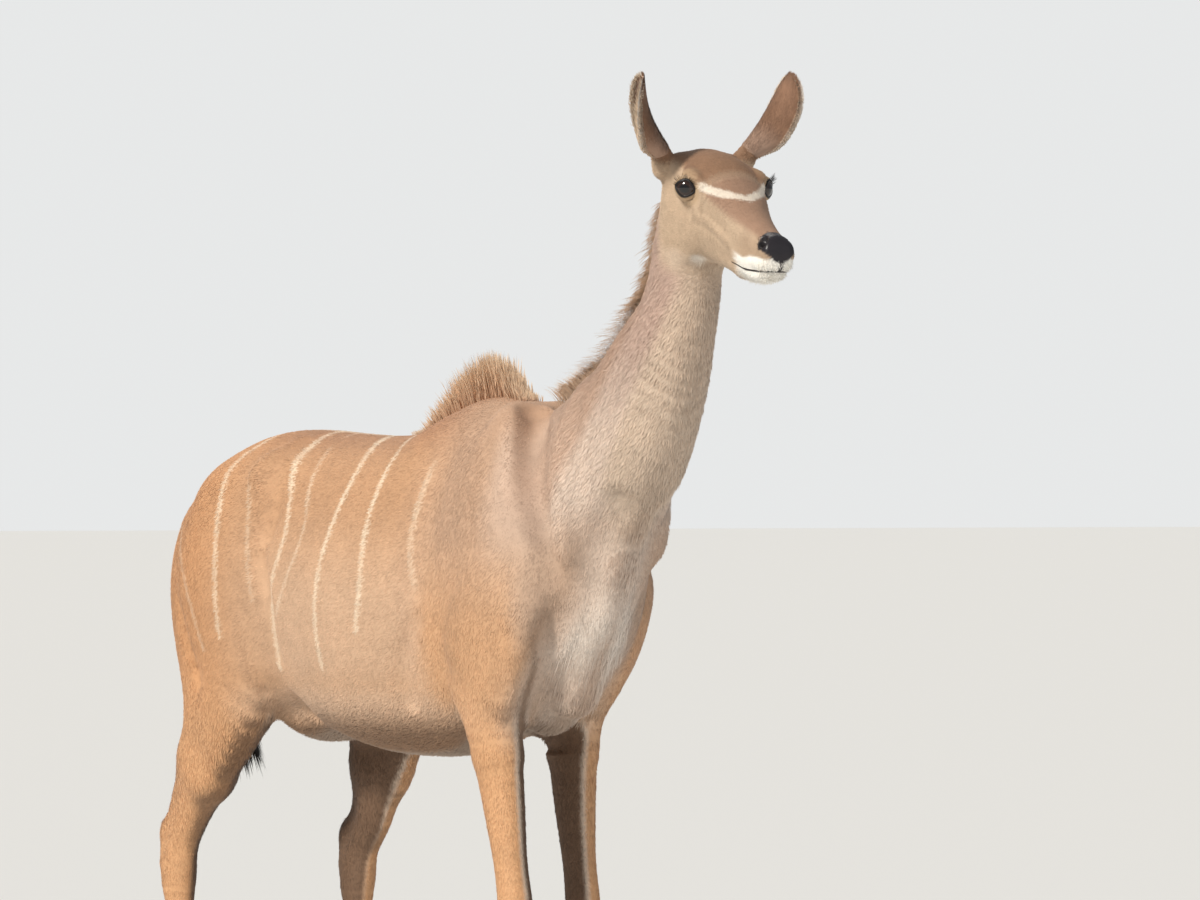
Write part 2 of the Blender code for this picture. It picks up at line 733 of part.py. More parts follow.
def box(name, low, high):
    """A cutter with straight sides."""
    corners = [(low, low), (high, low), (high, high), (low, high)]
    rings = [[(a[0], b[1], z) for a, b in corners] for z in (low[2], high[2])]
    return new_object(name, ring_mesh(name, rings))


def lock(root, out, lie, length, width, thick, flat, sink=ROOT_SINK):
    """A flat tapered lock: it leaves the surface along out, bends over to lie, and ends in a point."""
    spine = [root - out * sink]
    place = root.copy()
    steps = 3
    for i in range(steps):
        t = (i + 0.5) / steps
        way = (out * (1 - t) + lie * t).normalized()
        spine.append(place.copy())
        place = place + way * (length / steps)
    tip = place
    rings = []
    for point, share in zip(spine, LOCK_SHARES):
        way = (tip - spine[0]).normalized()
        wide = flat.cross(way).normalized() * (width * 0.5 * share)
        deep = flat.normalized() * (thick * 0.5 * share)
        rings.append([point + wide, point + deep, point - wide, point - deep])
    return new_object("lock", ring_mesh("lock", rings, tip))


def surface_between(field, inside, outside):
    """The point where the line from a place inside the body to one outside leaves it."""
    shares = np.linspace(0, 1, 81)
    line = np.array(inside) + shares[:, None] * (np.array(outside) - np.array(inside))
    values = field(line)
    last = int(np.nonzero(values < 0)[0].max())
    step = values[last] / (values[last] - values[last + 1])
    return Vector(line[last] + step * (line[last + 1] - line[last]))


def crest_locks(field, draw):
    """The tall hair on the hump: upright at its peak, laid back behind it."""
    locks = []
    for row, y in enumerate(CREST_ROWS):
        for i in range(CREST_COUNT):
            t = (i + row / len(CREST_ROWS)) / (CREST_COUNT - 0.5)
            x = CREST_BACK + t * (CREST_FRONT - CREST_BACK)
            height = float(np.interp(x, CREST_X, CREST_HEIGHT)) * draw.uniform(0.86, 1.06)
            tilt = math.radians(float(np.interp(x, CREST_X, CREST_TILT)) + draw.uniform(-7, 7))
            root = surface_between(field, (x, y, 1.1), (x, y, 1.4))
            out = Vector((-0.35 * math.sin(tilt), y * 4, 1)).normalized()
            lie = Vector((-math.sin(tilt), y * draw.uniform(2, 12), math.cos(tilt))).normalized()
            flat = Vector((draw.uniform(-0.4, 0.4), 1, 0))
            locks.append(lock(root, out, lie, height, CREST_WIDTH, CREST_THICK, flat))
    return locks


def on_neck(at):
    """A point on the neck's middle line, from 0 at its foot to 1 at the skull."""
    neck = smooth_rows(NECK, 8)
    shares = np.linspace(0, 1, len(neck))
    return np.array([np.interp(at, shares, neck[:, column]) for column in range(3)])


def nape_frame(field, at, y):
    """A point of the nape, the way out of it and the way up the neck."""
    middle = on_neck(at)
    way = Vector(on_neck(at + 0.02) - middle).normalized()
    up = way.cross(Vector((0, 1, 0))).normalized()
    inside = Vector(middle) + Vector((0, y, 0))
    return surface_between(field, inside, inside + up * 0.25), up, way


def mane_locks(field, draw):
    """The short mane down the nape, each lock leaning out and back towards the withers."""
    locks = []
    for i in range(MANE_COUNT):
        t = i / (MANE_COUNT - 1)
        y = MANE_ROWS[i % len(MANE_ROWS)]
        root, up, way = nape_frame(field, MANE_FROM + t * (MANE_TO - MANE_FROM), y)
        length = float(np.interp(t, MANE_SHARE, MANE_LENGTH)) * draw.uniform(0.85, 1.1)
        lean = draw.uniform(*MANE_LEAN)
        lie = (up - way * lean + Vector((0, y * draw.uniform(5, 30), 0))).normalized()
        flat = Vector((draw.uniform(-0.3, 0.3), 1, 0))
        locks.append(lock(root, up, lie, length, MANE_WIDTH, MANE_THICK, flat))
    return locks


def ellipsoid(name, matrix, around=8, rings=6):
    """A unit ball put in place by a matrix."""
    work = bmesh.new()
    bmesh.ops.create_uvsphere(work, u_segments=around, v_segments=rings, radius=1.0)
    bmesh.ops.transform(work, matrix=matrix, verts=work.verts[:])
    mesh = bpy.data.meshes.new(name)
    work.to_mesh(mesh)
    work.free()
    return new_object(name, mesh)


def dewclaw(x, y, spread):
    """One of the two small claws behind a fetlock."""
    turn = Matrix.Rotation(math.radians(25), 4, "Y") @ Matrix.Diagonal((*DEWCLAW_SIZE, 1))
    place = Matrix.Translation((x - DEWCLAW_BACK, y + spread, DEWCLAW_HEIGHT))
    return ellipsoid("dewclaw", place @ turn)


def tail_rings(extra):
    """Rings round the tail, made wider by extra."""
    path = smooth_rows(TAIL, TAIL_SPAN)
    rings = []
    for i, row in enumerate(path):
        way = Vector(path[min(i + 1, len(path) - 1), :3] - path[max(i - 1, 0), :3]).normalized()
        across = Vector((0, 1, 0))
        deep = way.cross(across)
        rings.append(
            [
                Vector(row[:3])
                + across * (row[3] + extra) * math.cos(a)
                + deep * (row[4] + extra) * math.sin(a)
                for a in (2 * math.pi * k / TAIL_SIDES for k in range(TAIL_SIDES))
            ]
        )
    return rings


def tail_object(draw):
    path = smooth_rows(TAIL, TAIL_SPAN)
    tail = new_object("tail", ring_mesh("tail", tail_rings(0)))
    locks = []
    for i in range(TAIL_LOCKS):
        t = i / (TAIL_LOCKS - 1)
        spot = int((len(path) - 2) * (TAIL_FROM + (1 - TAIL_FROM) * t))
        row = path[spot]
        way = Vector(path[spot + 1, :3] - row[:3]).normalized()
        angle = math.radians(TAIL_ANGLES[i % len(TAIL_ANGLES)] + draw.uniform(-8, 8))
        side = Vector((0, 1, 0))
        behind = side.cross(way)
        out = side * math.sin(angle) + behind * math.cos(angle)
        root = Vector(row[:3])
        root += side * (math.sin(angle) * row[3] * 0.9) + behind * (math.cos(angle) * row[4] * 0.9)
        lie = (way + out * draw.uniform(0.10, 0.22)).normalized()
        length = TAIL_HAIR * (0.75 + 0.3 * t) * draw.uniform(0.9, 1.1)
        leave = (out * 0.55 + way).normalized()
        locks.append(lock(root, leave, lie, length, TAIL_WIDTH, TAIL_THICK, out, sink=TAIL_SINK))
    combine(tail, locks, "UNION")
    place, normal = Vector(TAIL_CUT[0]), Vector(TAIL_CUT[1]).normalized()
    cut_off(tail, place + normal * GAP / 2, -normal)
    keep_largest(tail)
    return tail


def circle(middle, one, other, radius, count):
    """Points round a circle in the plane of two directions."""
    angles = [2 * math.pi * k / count for k in range(count)]
    return [middle + one * (radius * math.cos(a)) + other * (radius * math.sin(a)) for a in angles]


def ear_object(side):
    """A leaf rolled into a cup: a shell that is nearly a ring at its root and flat at its tip."""
    root, lean, opening, across = ear_frame(side)
    start = root + lean * (EAR_STUMP + GAP / 2)
    outer, inner = [], []
    for i in range(EAR_ROWS + 1):
        s = i / EAR_ROWS
        half = EAR_WIDTH * float(np.interp(s, EAR_SHARE, EAR_WIDTHS))
        turn = math.radians(float(np.interp(s, EAR_SHARE, EAR_ROLL)))
        radius = half / (1.0 if turn > math.pi / 2 else math.sin(turn))
        wall = min(EAR_WALL * (1 - 0.45 * s), half * 0.5)
        middle = start + lean * (EAR_LENGTH * s) + opening * (EAR_BOW * math.sin(math.pi * s) - EAR_SET)
        for line, r in ((outer, radius), (inner, radius - wall)):
            ring = []
            for j in range(EAR_COLUMNS + 1):
                a = turn * (2 * j / EAR_COLUMNS - 1)
                ring.append(middle + opening * (radius - r * math.cos(a)) + across * (r * math.sin(a)))
            line.append(ring)
    rings = [o + list(reversed(n)) for o, n in zip(outer, inner)]
    return new_object(f"ear_{side}", ring_mesh("ear", rings))


def eye_place(side):
    """The eyeball's centre and the way it looks, in the world."""
    sign = SIDES[side]
    matrix = head_matrix()
    centre = matrix @ Vector((EYE_PLACE[0], sign * EYE_PLACE[1], EYE_PLACE[2]))
    look = matrix.to_3x3() @ Vector((EYE_LOOK[0], sign * EYE_LOOK[1], EYE_LOOK[2])).normalized()
    return centre, look


def eye_object(side, radius, name):
    centre, _ = eye_place(side)
    return ellipsoid(name, Matrix.Translation(centre) @ Matrix.Scale(radius, 4), 14, 8)


def lid_object(side):
    """The rim of the lids: an almond loop that lies on the eyeball."""
    centre, look = eye_place(side)
    forward = head_matrix().to_3x3() @ Vector((1, 0, 0))
    along = (forward - look * forward.dot(look)).normalized()
    upward = look.cross(along)
    if upward.z < 0:
        upward = -upward
    rings = []
    for k in range(LID_STEPS):
        a = 2 * math.pi * k / LID_STEPS
        reach_x = LID_LONG * math.cos(a)
        reach_y = LID_HIGH * math.sin(a) * (1 - 0.25 * math.cos(a) ** 2)
        way = (look + along * math.tan(reach_x) + upward * math.tan(reach_y)).normalized()
        outward = (along * math.cos(a) + upward * math.sin(a)).normalized()
        skirt = outward * math.cos(LID_SLOPE) - look * math.sin(LID_SLOPE)
        middle = centre + way * EYE_RADIUS + skirt * (LID_BROAD * 0.5)
        rings.append(
            [
                middle + way * LID_THICK * math.cos(b) + skirt * LID_BROAD * math.sin(b)
                for b in (2 * math.pi * m / 6 for m in range(6))
            ]
        )
    points = [p for ring in rings for p in ring]
    faces = []
    for i in range(LID_STEPS):
        n = (i + 1) % LID_STEPS
        for m in range(6):
            q = (m + 1) % 6
            faces.append((i * 6 + m, i * 6 + q, n * 6 + q, n * 6 + m))
    mesh = bpy.data.meshes.new("lid")
    mesh.from_pydata([tuple(p) for p in points], [], faces)
    work = bmesh.new()
    work.from_mesh(mesh)
    bmesh.ops.recalc_face_normals(work, faces=work.faces[:])
    if work.calc_volume(signed=True) < 0:
        bmesh.ops.reverse_faces(work, faces=work.faces[:])
    work.to_mesh(mesh)
    work.free()
    return new_object("lid", mesh)


def nostril_object(side, field):
    """The slanting hollow of a nostril, set into the surface of the nose."""
    sign = SIDES[side]
    inside = Vector(NOSE_PLACE)
    way = Vector((NOSTRIL_WAY[0], sign * NOSTRIL_WAY[1], NOSTRIL_WAY[2])).normalized()
    centre = surface_between(field, head_matrix() @ inside, head_matrix() @ (inside + way * 0.05))
    centre = centre - head_matrix().to_3x3() @ way * NOSTRIL_SINK
    turn = Matrix.Rotation(-sign * NOSTRIL_TURN, 4, "Z") @ Matrix.Rotation(NOSTRIL_TIP, 4, "Y")
    place = Matrix.Translation(centre) @ head_matrix().to_3x3().to_4x4()
    return ellipsoid("nostril", place @ turn @ Matrix.Diagonal((*NOSTRIL_SIZE, 1)), 12, 8)


def mouth_object():
    """The slit between the lips, a thin blade bent round the muzzle."""
    matrix = head_matrix()
    corner, front = Vector(MOUTH_CORNER), Vector(MOUTH_FRONT)
    half = Vector((0, 0, MOUTH_OPEN / 2))
    rings = []
    for i in range(MOUTH_STEPS + 1):
        a = math.pi * (i / MOUTH_STEPS - 0.5)
        out = Vector((math.cos(a), math.sin(a), 0))
        share = max(0.0, math.cos(a)) ** 0.6
        line = corner.lerp(front, share)
        line.y = math.sin(a) * corner.y
        line.z -= MOUTH_SAG * math.sin(math.pi * share)
        inner = line - out * MOUTH_DEPTH
        outer = line + out * MOUTH_BEYOND
        ring = (inner + half, outer + half, outer - half, inner - half)
        rings.append([matrix @ point for point in ring])
    return new_object("mouth", ring_mesh("mouth", rings))


def claw_object(name, x, y, turn):
    """One half of a cloven hoof: a wedge with a flat sole, a straight inner wall and a pointed toe."""
    rings = []
    for height, share, shift in CLAW_RINGS:
        ring = []
        for k in range(CLAW_SIDES):
            a = 2 * math.pi * k / CLAW_SIDES
            along = math.cos(a)
            reach = CLAW_LENGTH * (CLAW_TOE if along > 0 else 1 - CLAW_TOE) * share
            taper = 1 - CLAW_POINT * max(along, 0) ** 1.5
            wide = CLAW_WIDTH / 2 * share * taper
            forward = along * reach + shift * CLAW_LEAN
            ring.append(Vector((forward, math.sin(a) * wide, height * HOOF_TOP)))
        rings.append(ring)
    matrix = Matrix.Translation((x, y, 0)) @ Matrix.Rotation(turn, 4, "Z")
    rings = [[matrix @ point for point in ring] for ring in rings]
    return new_object(name, ring_mesh(name, rings))


def material(name, colour, roughness, metallic=0.0):
    made = bpy.data.materials.get(name) or bpy.data.materials.new(name)
    made.use_nodes = True
    shader = made.node_tree.nodes["Principled BSDF"]
    shader.inputs["Base Color"].default_value = (*colour, 1)
    shader.inputs["Roughness"].default_value = roughness
    shader.inputs["Metallic"].default_value = metallic
    return made


def main():
    for thing in list(bpy.data.objects):
        bpy.data.objects.remove(thing)
    draw = random.Random(SEED)
    pieces = pieces_of_flesh()
    forms = pieces_of_head()

    def field(points):
        return whole(points, pieces, forms)

    up = Vector((0, 0, 1))
    half_gap = GAP / 2
    neck_place, neck_normal = Vector(NECK_CUT[0]), Vector(NECK_CUT[1]).normalized()
    head_place = head_matrix() @ Vector(HEAD_CUT[0])
    head_normal = head_matrix().to_3x3() @ Vector(HEAD_CUT[1]).normalized()
    nodes = []

    torso = new_object("torso", grid_mesh("torso", field, *TORSO_BOX, TORSO_STEP))
    thin_out(torso, TORSO_TRIANGLES)
    cut_off(torso, neck_place - neck_normal * half_gap, neck_normal)
    cutters = []
    for sign in SIDES.values():
        low_y, high_y = sorted((sign * 0.030, sign * 0.30))
        cutters.append(box("fore_cut", (0.27, low_y, 0.4), (0.70, high_y, FORE_CUT + half_gap)))
        cutters.append(box("hind_cut", (-0.80, low_y, 0.4), (-0.12, high_y, HIND_CUT + half_gap)))
    place, normal = Vector(TAIL_CUT[0]), Vector(TAIL_CUT[1]).normalized()
    tail_room = new_object("tail_room", ring_mesh("tail_room", tail_rings(TAIL_ROOM)))
    cut_off(tail_room, place - normal * half_gap, -normal)
    cutters.append(tail_room)
    combine(torso, cutters, "DIFFERENCE")
    combine(torso, crest_locks(field, draw), "UNION")
    nodes.append((torso, "coat"))

    neck = new_object("neck", grid_mesh("neck", field, *NECK_BOX, NECK_STEP))
    cut_off(neck, neck_place - neck_normal * SPARE, -neck_normal)
    cut_off(neck, head_place + head_normal * SPARE, head_normal)
    keep_largest(neck)
    thin_out(neck, NECK_TRIANGLES)
    combine(neck, mane_locks(field, draw), "UNION")
    cut_off(neck, neck_place + neck_normal * half_gap, -neck_normal)
    cut_off(neck, head_place - head_normal * half_gap, head_normal)
    keep_largest(neck)
    nodes.append((neck, "coat"))

    head = new_object("head", grid_mesh("head", field, *HEAD_BOX, HEAD_STEP))
    cut_off(head, head_place - head_normal * SPARE, -head_normal)
    keep_largest(head)
    for side in SIDES:
        root, lean, opening, across = ear_frame(side)
        level = root + lean * (EAR_STUMP - half_gap)
        ends = (level, level + lean * EAR_CUTTER[1])
        rings = [circle(end, opening, across, EAR_CUTTER[0], 8) for end in ends]
        combine(head, [new_object("ear_cut", ring_mesh("ear_cut", rings))], "DIFFERENCE")
    thin_out(head, HEAD_TRIANGLES)
    combine(head, [lid_object(side) for side in SIDES], "UNION")
    cutters = [eye_object(side, EYE_RADIUS + GAP, "socket") for side in SIDES]
    cutters += [nostril_object(side, field) for side in SIDES]
    cutters.append(mouth_object())
    combine(head, cutters, "DIFFERENCE")
    cut_off(head, head_place + head_normal * half_gap, -head_normal)
    nodes.append((head, "coat"))

    for side in SIDES:
        nodes.append((ear_object(side), "ear"))
        nodes.append((eye_object(side, EYE_RADIUS, f"eye_{side}"), "eye"))
    nodes.append((tail_object(draw), "tail"))

    for side, sign in SIDES.items():
        legs = (
            ("foreleg", FORE_X[side], FORE_CUT, KNEE_CUT, FORE_FOOT, FORELEG_X),
            ("hindleg", HOCK_X[side], HIND_CUT, HOCK_CUT, HIND_FOOT, HINDLEG_X),
        )
        for leg, x, top, joint, foot, reach in legs:
            low_y, high_y = sorted((sign * LEG_Y[0], sign * LEG_Y[1]))
            for part, low, high, triangles in (
                ("upper", joint, top, UPPER_LEG_TRIANGLES),
                ("lower", HOOF_TOP, joint, LOWER_LEG_TRIANGLES),
            ):
                name = f"{leg}_{side}_{part}"
                corners = ((reach[0], low_y, low - 2 * SPARE), (reach[1], high_y, high + 2 * SPARE))
                thing = new_object(name, grid_mesh(name, field, *corners, LEG_STEP))
                cut_off(thing, up * (high + SPARE), up)
                cut_off(thing, up * (low - SPARE), -up)
                keep_largest(thing)
                thin_out(thing, triangles)
                cut_off(thing, up * (high - half_gap), up)
                cut_off(thing, up * (low + half_gap), -up)
                if part == "lower":
                    y = sign * foot[1]
                    spreads = (-DEWCLAW_SPREAD, DEWCLAW_SPREAD)
                    combine(thing, [dewclaw(x + foot[0], y, spread) for spread in spreads], "UNION")
                nodes.append((thing, "leg"))
            for claw, spread in (("inner", -1), ("outer", 1)):
                y = sign * (foot[1] + spread * (CLAW_WIDTH + CLAW_GAP) / 2)
                name = f"hoof_{leg[:4]}_{side}_{claw}"
                nodes.append((claw_object(name, x + foot[0] + 0.004, y, sign * spread * 0.06), "hoof"))

    places = [vertex.co for thing, _ in nodes for vertex in thing.data.vertices]
    shift = Vector((0, 0, 0))
    shift.x = (min(p.x for p in places) + max(p.x for p in places)) / 2
    shift.y = (min(p.y for p in places) + max(p.y for p in places)) / 2
    for thing, slot in nodes:
        thing.data.transform(Matrix.Translation(-shift))
        thing.data.materials.clear()
        thing.data.materials.append(material(slot, *FINISHES[slot]))
        thing.data.shade_smooth()
        thing.data.set_sharp_from_angle(angle=math.radians(50))


main()
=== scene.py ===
"""Greater kudu cow: the rendered model on the CAD frame."""

import math

import bmesh
import bpy
import numpy as np
from mathutils import Matrix, Vector

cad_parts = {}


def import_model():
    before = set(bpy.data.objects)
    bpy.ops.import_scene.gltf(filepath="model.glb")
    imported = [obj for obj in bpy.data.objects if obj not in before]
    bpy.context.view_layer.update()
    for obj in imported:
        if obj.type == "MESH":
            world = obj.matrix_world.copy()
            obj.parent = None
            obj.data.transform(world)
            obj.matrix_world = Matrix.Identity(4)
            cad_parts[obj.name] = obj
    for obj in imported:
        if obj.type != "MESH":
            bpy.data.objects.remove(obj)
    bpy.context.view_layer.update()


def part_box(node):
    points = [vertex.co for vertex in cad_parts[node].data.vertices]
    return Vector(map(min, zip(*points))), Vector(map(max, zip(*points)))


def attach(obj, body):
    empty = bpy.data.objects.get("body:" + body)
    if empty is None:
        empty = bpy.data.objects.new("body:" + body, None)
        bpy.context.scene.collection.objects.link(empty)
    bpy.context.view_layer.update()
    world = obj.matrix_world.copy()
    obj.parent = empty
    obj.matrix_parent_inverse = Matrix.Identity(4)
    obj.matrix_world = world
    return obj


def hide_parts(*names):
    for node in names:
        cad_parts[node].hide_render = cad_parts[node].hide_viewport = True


# Shapes shared with the solids.
SEED = 7
HEAD_FROM = 0.78  # the head's forms matter only in front of this x
HEAD_BLEND = 0.035
# Trunk: x, top line, widest level, belly line, half width.
TRUNK = (
    (-0.648, 1.050, 1.000, 0.940, 0.046),
    (-0.634, 1.098, 0.985, 0.870, 0.096),
    (-0.594, 1.152, 0.975, 0.815, 0.144),
    (-0.500, 1.203, 0.970, 0.780, 0.182),
    (-0.410, 1.222, 0.975, 0.760, 0.190),
    (-0.300, 1.224, 0.975, 0.735, 0.186),
    (-0.180, 1.218, 0.950, 0.695, 0.190),
    (-0.040, 1.214, 0.925, 0.672, 0.204),
    (0.080, 1.222, 0.920, 0.667, 0.206),
    (0.180, 1.254, 0.920, 0.671, 0.194),
    (0.280, 1.278, 0.925, 0.684, 0.174),
    (0.380, 1.274, 0.930, 0.708, 0.154),
    (0.470, 1.236, 0.940, 0.742, 0.138),
    (0.550, 1.170, 0.950, 0.790, 0.122),
    (0.605, 1.110, 0.950, 0.840, 0.098),
    (0.640, 1.050, 0.950, 0.888, 0.066),
)
TRUNK_END = 0.016  # how far the trunk is rounded off beyond its first and last rows
# Neck: x, y, z, half width, half depth.
NECK = (
    (0.400, 0.0, 1.060, 0.100, 0.120),
    (0.520, 0.0, 1.092, 0.108, 0.155),
    (0.634, 0.0, 1.145, 0.100, 0.154),
    (0.736, 0.0, 1.222, 0.088, 0.135),
    (0.816, 0.0, 1.316, 0.076, 0.112),
    (0.866, 0.0, 1.385, 0.063, 0.090),
    (0.893, 0.0, 1.450, 0.056, 0.080),
    (0.906, 0.0, 1.520, 0.053, 0.072),
    (0.922, 0.0, 1.580, 0.050, 0.058),
)
# Head frame: the midpoint between the eyes, its turn to the right and its tip downwards.
EYE_MIDDLE = Vector((1.017, 0.006, 1.617))
HEAD_YAW = math.radians(-5)
HEAD_PITCH = math.radians(14)
# Skull and mandible: forward, sideways, up in the head's frame, half width, half depth.
SKULL = (
    (-0.112, 0.0, -0.022, 0.050, 0.036),
    (-0.090, 0.0, -0.010, 0.060, 0.050),
    (-0.040, 0.0, -0.006, 0.066, 0.052),
    (0.000, 0.0, -0.011, 0.067, 0.049),
    (0.045, 0.0, -0.026, 0.057, 0.042),
    (0.090, 0.0, -0.042, 0.045, 0.037),
    (0.130, 0.0, -0.053, 0.038, 0.034),
    (0.170, 0.0, -0.060, 0.0325, 0.031),
    (0.200, 0.0, -0.064, 0.0310, 0.030),
    (0.216, 0.0, -0.068, 0.0280, 0.027),
)
CHEEK = (
    (-0.050, 0.0, -0.050, 0.058, 0.050),
    (0.010, 0.0, -0.062, 0.055, 0.044),
    (0.060, 0.0, -0.072, 0.043, 0.034),
    (0.110, 0.0, -0.080, 0.0350, 0.029),
    (0.165, 0.0, -0.086, 0.0345, 0.025),
)
MANDIBLE = (
    (-0.062, 0.0, -0.070, 0.044, 0.046),
    (-0.020, 0.0, -0.083, 0.045, 0.043),
    (0.030, 0.0, -0.095, 0.037, 0.033),
    (0.080, 0.0, -0.103, 0.029, 0.025),
    (0.130, 0.0, -0.110, 0.027, 0.022),
    (0.170, 0.0, -0.108, 0.028, 0.021),
    (0.204, 0.0, -0.101, 0.024, 0.017),
)
EYE_RADIUS = 0.0210
EYE_PLACE = (-0.004, 0.0650, -0.006)
ORBIT_SIDE = 0.0600
NOSE_PLACE = (0.216, 0.0, -0.058)
NOSE_SIZE = (0.0205, 0.0270, 0.0225)
# Foreleg from the blade's top down: x from the leg's own elbow, y outwards, z, half width, half depth.
FORELEG = (
    (0.020, 0.068, 1.215, 0.030, 0.050),
    (0.025, 0.098, 1.120, 0.040, 0.090),
    (0.045, 0.112, 1.020, 0.048, 0.112),
    (0.060, 0.118, 0.930, 0.054, 0.118),
    (0.035, 0.114, 0.845, 0.054, 0.104),
    (0.005, 0.102, 0.765, 0.050, 0.076),
    (0.010, 0.093, 0.680, 0.042, 0.056),
    (0.025, 0.089, 0.590, 0.036, 0.044),
    (0.042, 0.087, 0.500, 0.029, 0.034),
    (0.055, 0.086, 0.435, 0.030, 0.033),
    (0.058, 0.086, 0.395, 0.031, 0.033),
    (0.056, 0.086, 0.345, 0.023, 0.025),
    (0.056, 0.086, 0.260, 0.0185, 0.021),
    (0.058, 0.086, 0.170, 0.0190, 0.0215),
    (0.060, 0.086, 0.120, 0.0260, 0.0270),
    (0.076, 0.086, 0.082, 0.0245, 0.0245),
    (0.092, 0.086, 0.046, 0.0290, 0.0320),
    (0.094, 0.086, 0.030, 0.0290, 0.0330),
)
FORE_X = {"right": 0.432, "left": 0.358}
# Hind leg: x relative to the hock, y outwards, z, half width, half depth.
HINDLEG_TOP = (
    (0.230, 0.105, 1.100, 0.060, 0.110),
    (0.240, 0.118, 1.000, 0.070, 0.150),
    (0.250, 0.124, 0.900, 0.070, 0.150),
    (0.260, 0.126, 0.810, 0.062, 0.120),
    (0.205, 0.120, 0.725, 0.054, 0.088),
    (0.125, 0.112, 0.640, 0.042, 0.062),
    (0.060, 0.107, 0.560, 0.031, 0.043),
)
HINDLEG_LOW = (
    (0.022, 0.105, 0.505, 0.027, 0.036),
    (0.004, 0.104, 0.450, 0.030, 0.040),
    (0.006, 0.103, 0.395, 0.024, 0.031),
    (0.010, 0.102, 0.310, 0.0195, 0.0235),
    (0.012, 0.102, 0.200, 0.0190, 0.0235),
    (0.014, 0.102, 0.125, 0.0260, 0.0285),
    (0.030, 0.102, 0.085, 0.0245, 0.0250),
    (0.046, 0.102, 0.046, 0.0290, 0.0320),
    (0.048, 0.102, 0.030, 0.0290, 0.0330),
)
HOCK_X = {"right": -0.665, "left": -0.400}
HIP_X = -0.400
HIP_HEIGHT = 1.00
GASKIN_FOOT = 0.56  # above it each hind leg leans over to the hip
# Back of the thigh, in the hind leg's own terms.
HAMSTRING = (
    (0.080, 0.084, 1.040, 0.050, 0.055),
    (0.085, 0.098, 0.960, 0.058, 0.066),
    (0.100, 0.108, 0.870, 0.056, 0.070),
    (0.116, 0.112, 0.780, 0.047, 0.060),
    (0.112, 0.112, 0.705, 0.037, 0.046),
    (0.072, 0.110, 0.640, 0.027, 0.032),
    (0.022, 0.108, 0.580, 0.018, 0.021),
    (-0.018, 0.105, 0.525, 0.0145, 0.017),
)
SIDES = {"right": -1, "left": 1}
# Thin cuts: where the neck leaves the trunk, the head the neck, and the legs the trunk.
NECK_CUT = ((0.500, 0.0, 1.285), (0.879, 0.0, 0.477))
HEAD_CUT = ((-0.122, 0.0, 0.030), (0.868, 0.0, 0.496))  # in the head's frame
FORE_CUT = 0.680
HIND_CUT = 0.662
# Hooves: two claws on each foot.
HOOF_TOP = 0.042
CLAW_LENGTH = 0.068
CLAW_WIDTH = 0.0265
CLAW_GAP = 0.0030
CLAW_LEAN = 0.011
CLAW_TOE = 0.56  # the share of a claw that lies before its widest place
CLAW_POINT = 0.42
# A claw's rings from the sole up: share of its height, share of its width, share of its lean.
CLAW_RINGS = ((0.0, 1.0, 0.0), (0.1, 1.03, 0.0), (0.6, 0.93, -0.4), (1.0, 0.82, -1.0))
FORE_FOOT = (0.094, 0.086)
HIND_FOOT = (0.048, 0.102)
DEWCLAW_SIZE = (0.0105, 0.0085, 0.0150)
DEWCLAW_BACK = 0.055
DEWCLAW_HEIGHT = 0.100
DEWCLAW_SPREAD = 0.013
# Ears: root in the head's frame, then the leaf.
EAR_ROOT = (-0.092, 0.066, 0.008)
EAR_STUMP = 0.030
EAR_LENGTH = 0.142
EAR_WIDTH = 0.041
EAR_WALL = 0.0035
EAR_LEAN = {"right": (0.30, -0.50, 0.81), "left": (0.22, 0.50, 0.84)}
EAR_OPENING = {"right": (-0.35, -0.94, 0.0), "left": (-0.10, 0.99, 0.0)}
# Tail: x, y, z, half width, half depth, from its root down.
TAIL = (
    (-0.570, 0.0, 1.150, 0.030, 0.022),
    (-0.620, 0.0, 1.128, 0.025, 0.019),
    (-0.664, 0.0, 1.075, 0.021, 0.015),
    (-0.690, 0.0, 1.000, 0.018, 0.012),
    (-0.692, 0.0, 0.920, 0.015, 0.010),
    (-0.682, 0.0, 0.840, 0.013, 0.009),
    (-0.662, 0.0, 0.770, 0.011, 0.008),
    (-0.642, 0.0, 0.718, 0.009, 0.006),
)
# Eyes, lids, nostrils and mouth, in the head's frame.
EYE_LOOK = (0.56, 0.82, 0.10)
LID_THICK = 0.0016
LID_SLOPE = math.radians(38)
NOSTRIL_TURN = math.radians(32)
NOSTRIL_TIP = math.radians(28)
MOUTH_CORNER = (0.118, 0.037, -0.1020)
MOUTH_FRONT = (0.2330, 0.0, -0.0905)
MOUTH_STEPS = 20
MOUTH_SAG = 0.004
# The ear's outline: width and roll of its cup from root to tip.
EAR_SHARE = (0.0, 0.10, 0.25, 0.45, 0.65, 0.82, 0.94, 1.0)
EAR_WIDTHS = (0.42, 0.52, 0.76, 0.98, 1.00, 0.86, 0.58, 0.24)
EAR_ROLL = (150, 136, 100, 72, 60, 54, 50, 46)
EAR_BOW = 0.010
EAR_SET = 0.016
CREST_BACK = 0.030
CREST_FRONT = 0.362
CREST_X = (0.03, 0.10, 0.18, 0.25, 0.31, 0.36, 0.39)
CREST_HEIGHT = (0.022, 0.040, 0.064, 0.078, 0.064, 0.042, 0.028)
CREST_TILT = (62, 48, 30, 10, 16, 26, 34)
MANE_FROM = 0.22
MANE_TO = 0.92
MANE_SHARE = (0.0, 0.12, 0.3, 0.6, 1.0)
MANE_LENGTH = (0.058, 0.062, 0.058, 0.050, 0.040)
MANE_LEAN = (0.95, 1.45)
FAR = 10.0  # the field's value where nothing is near
PULL = 0.8  # the share of the way that a point is drawn to the surface each time
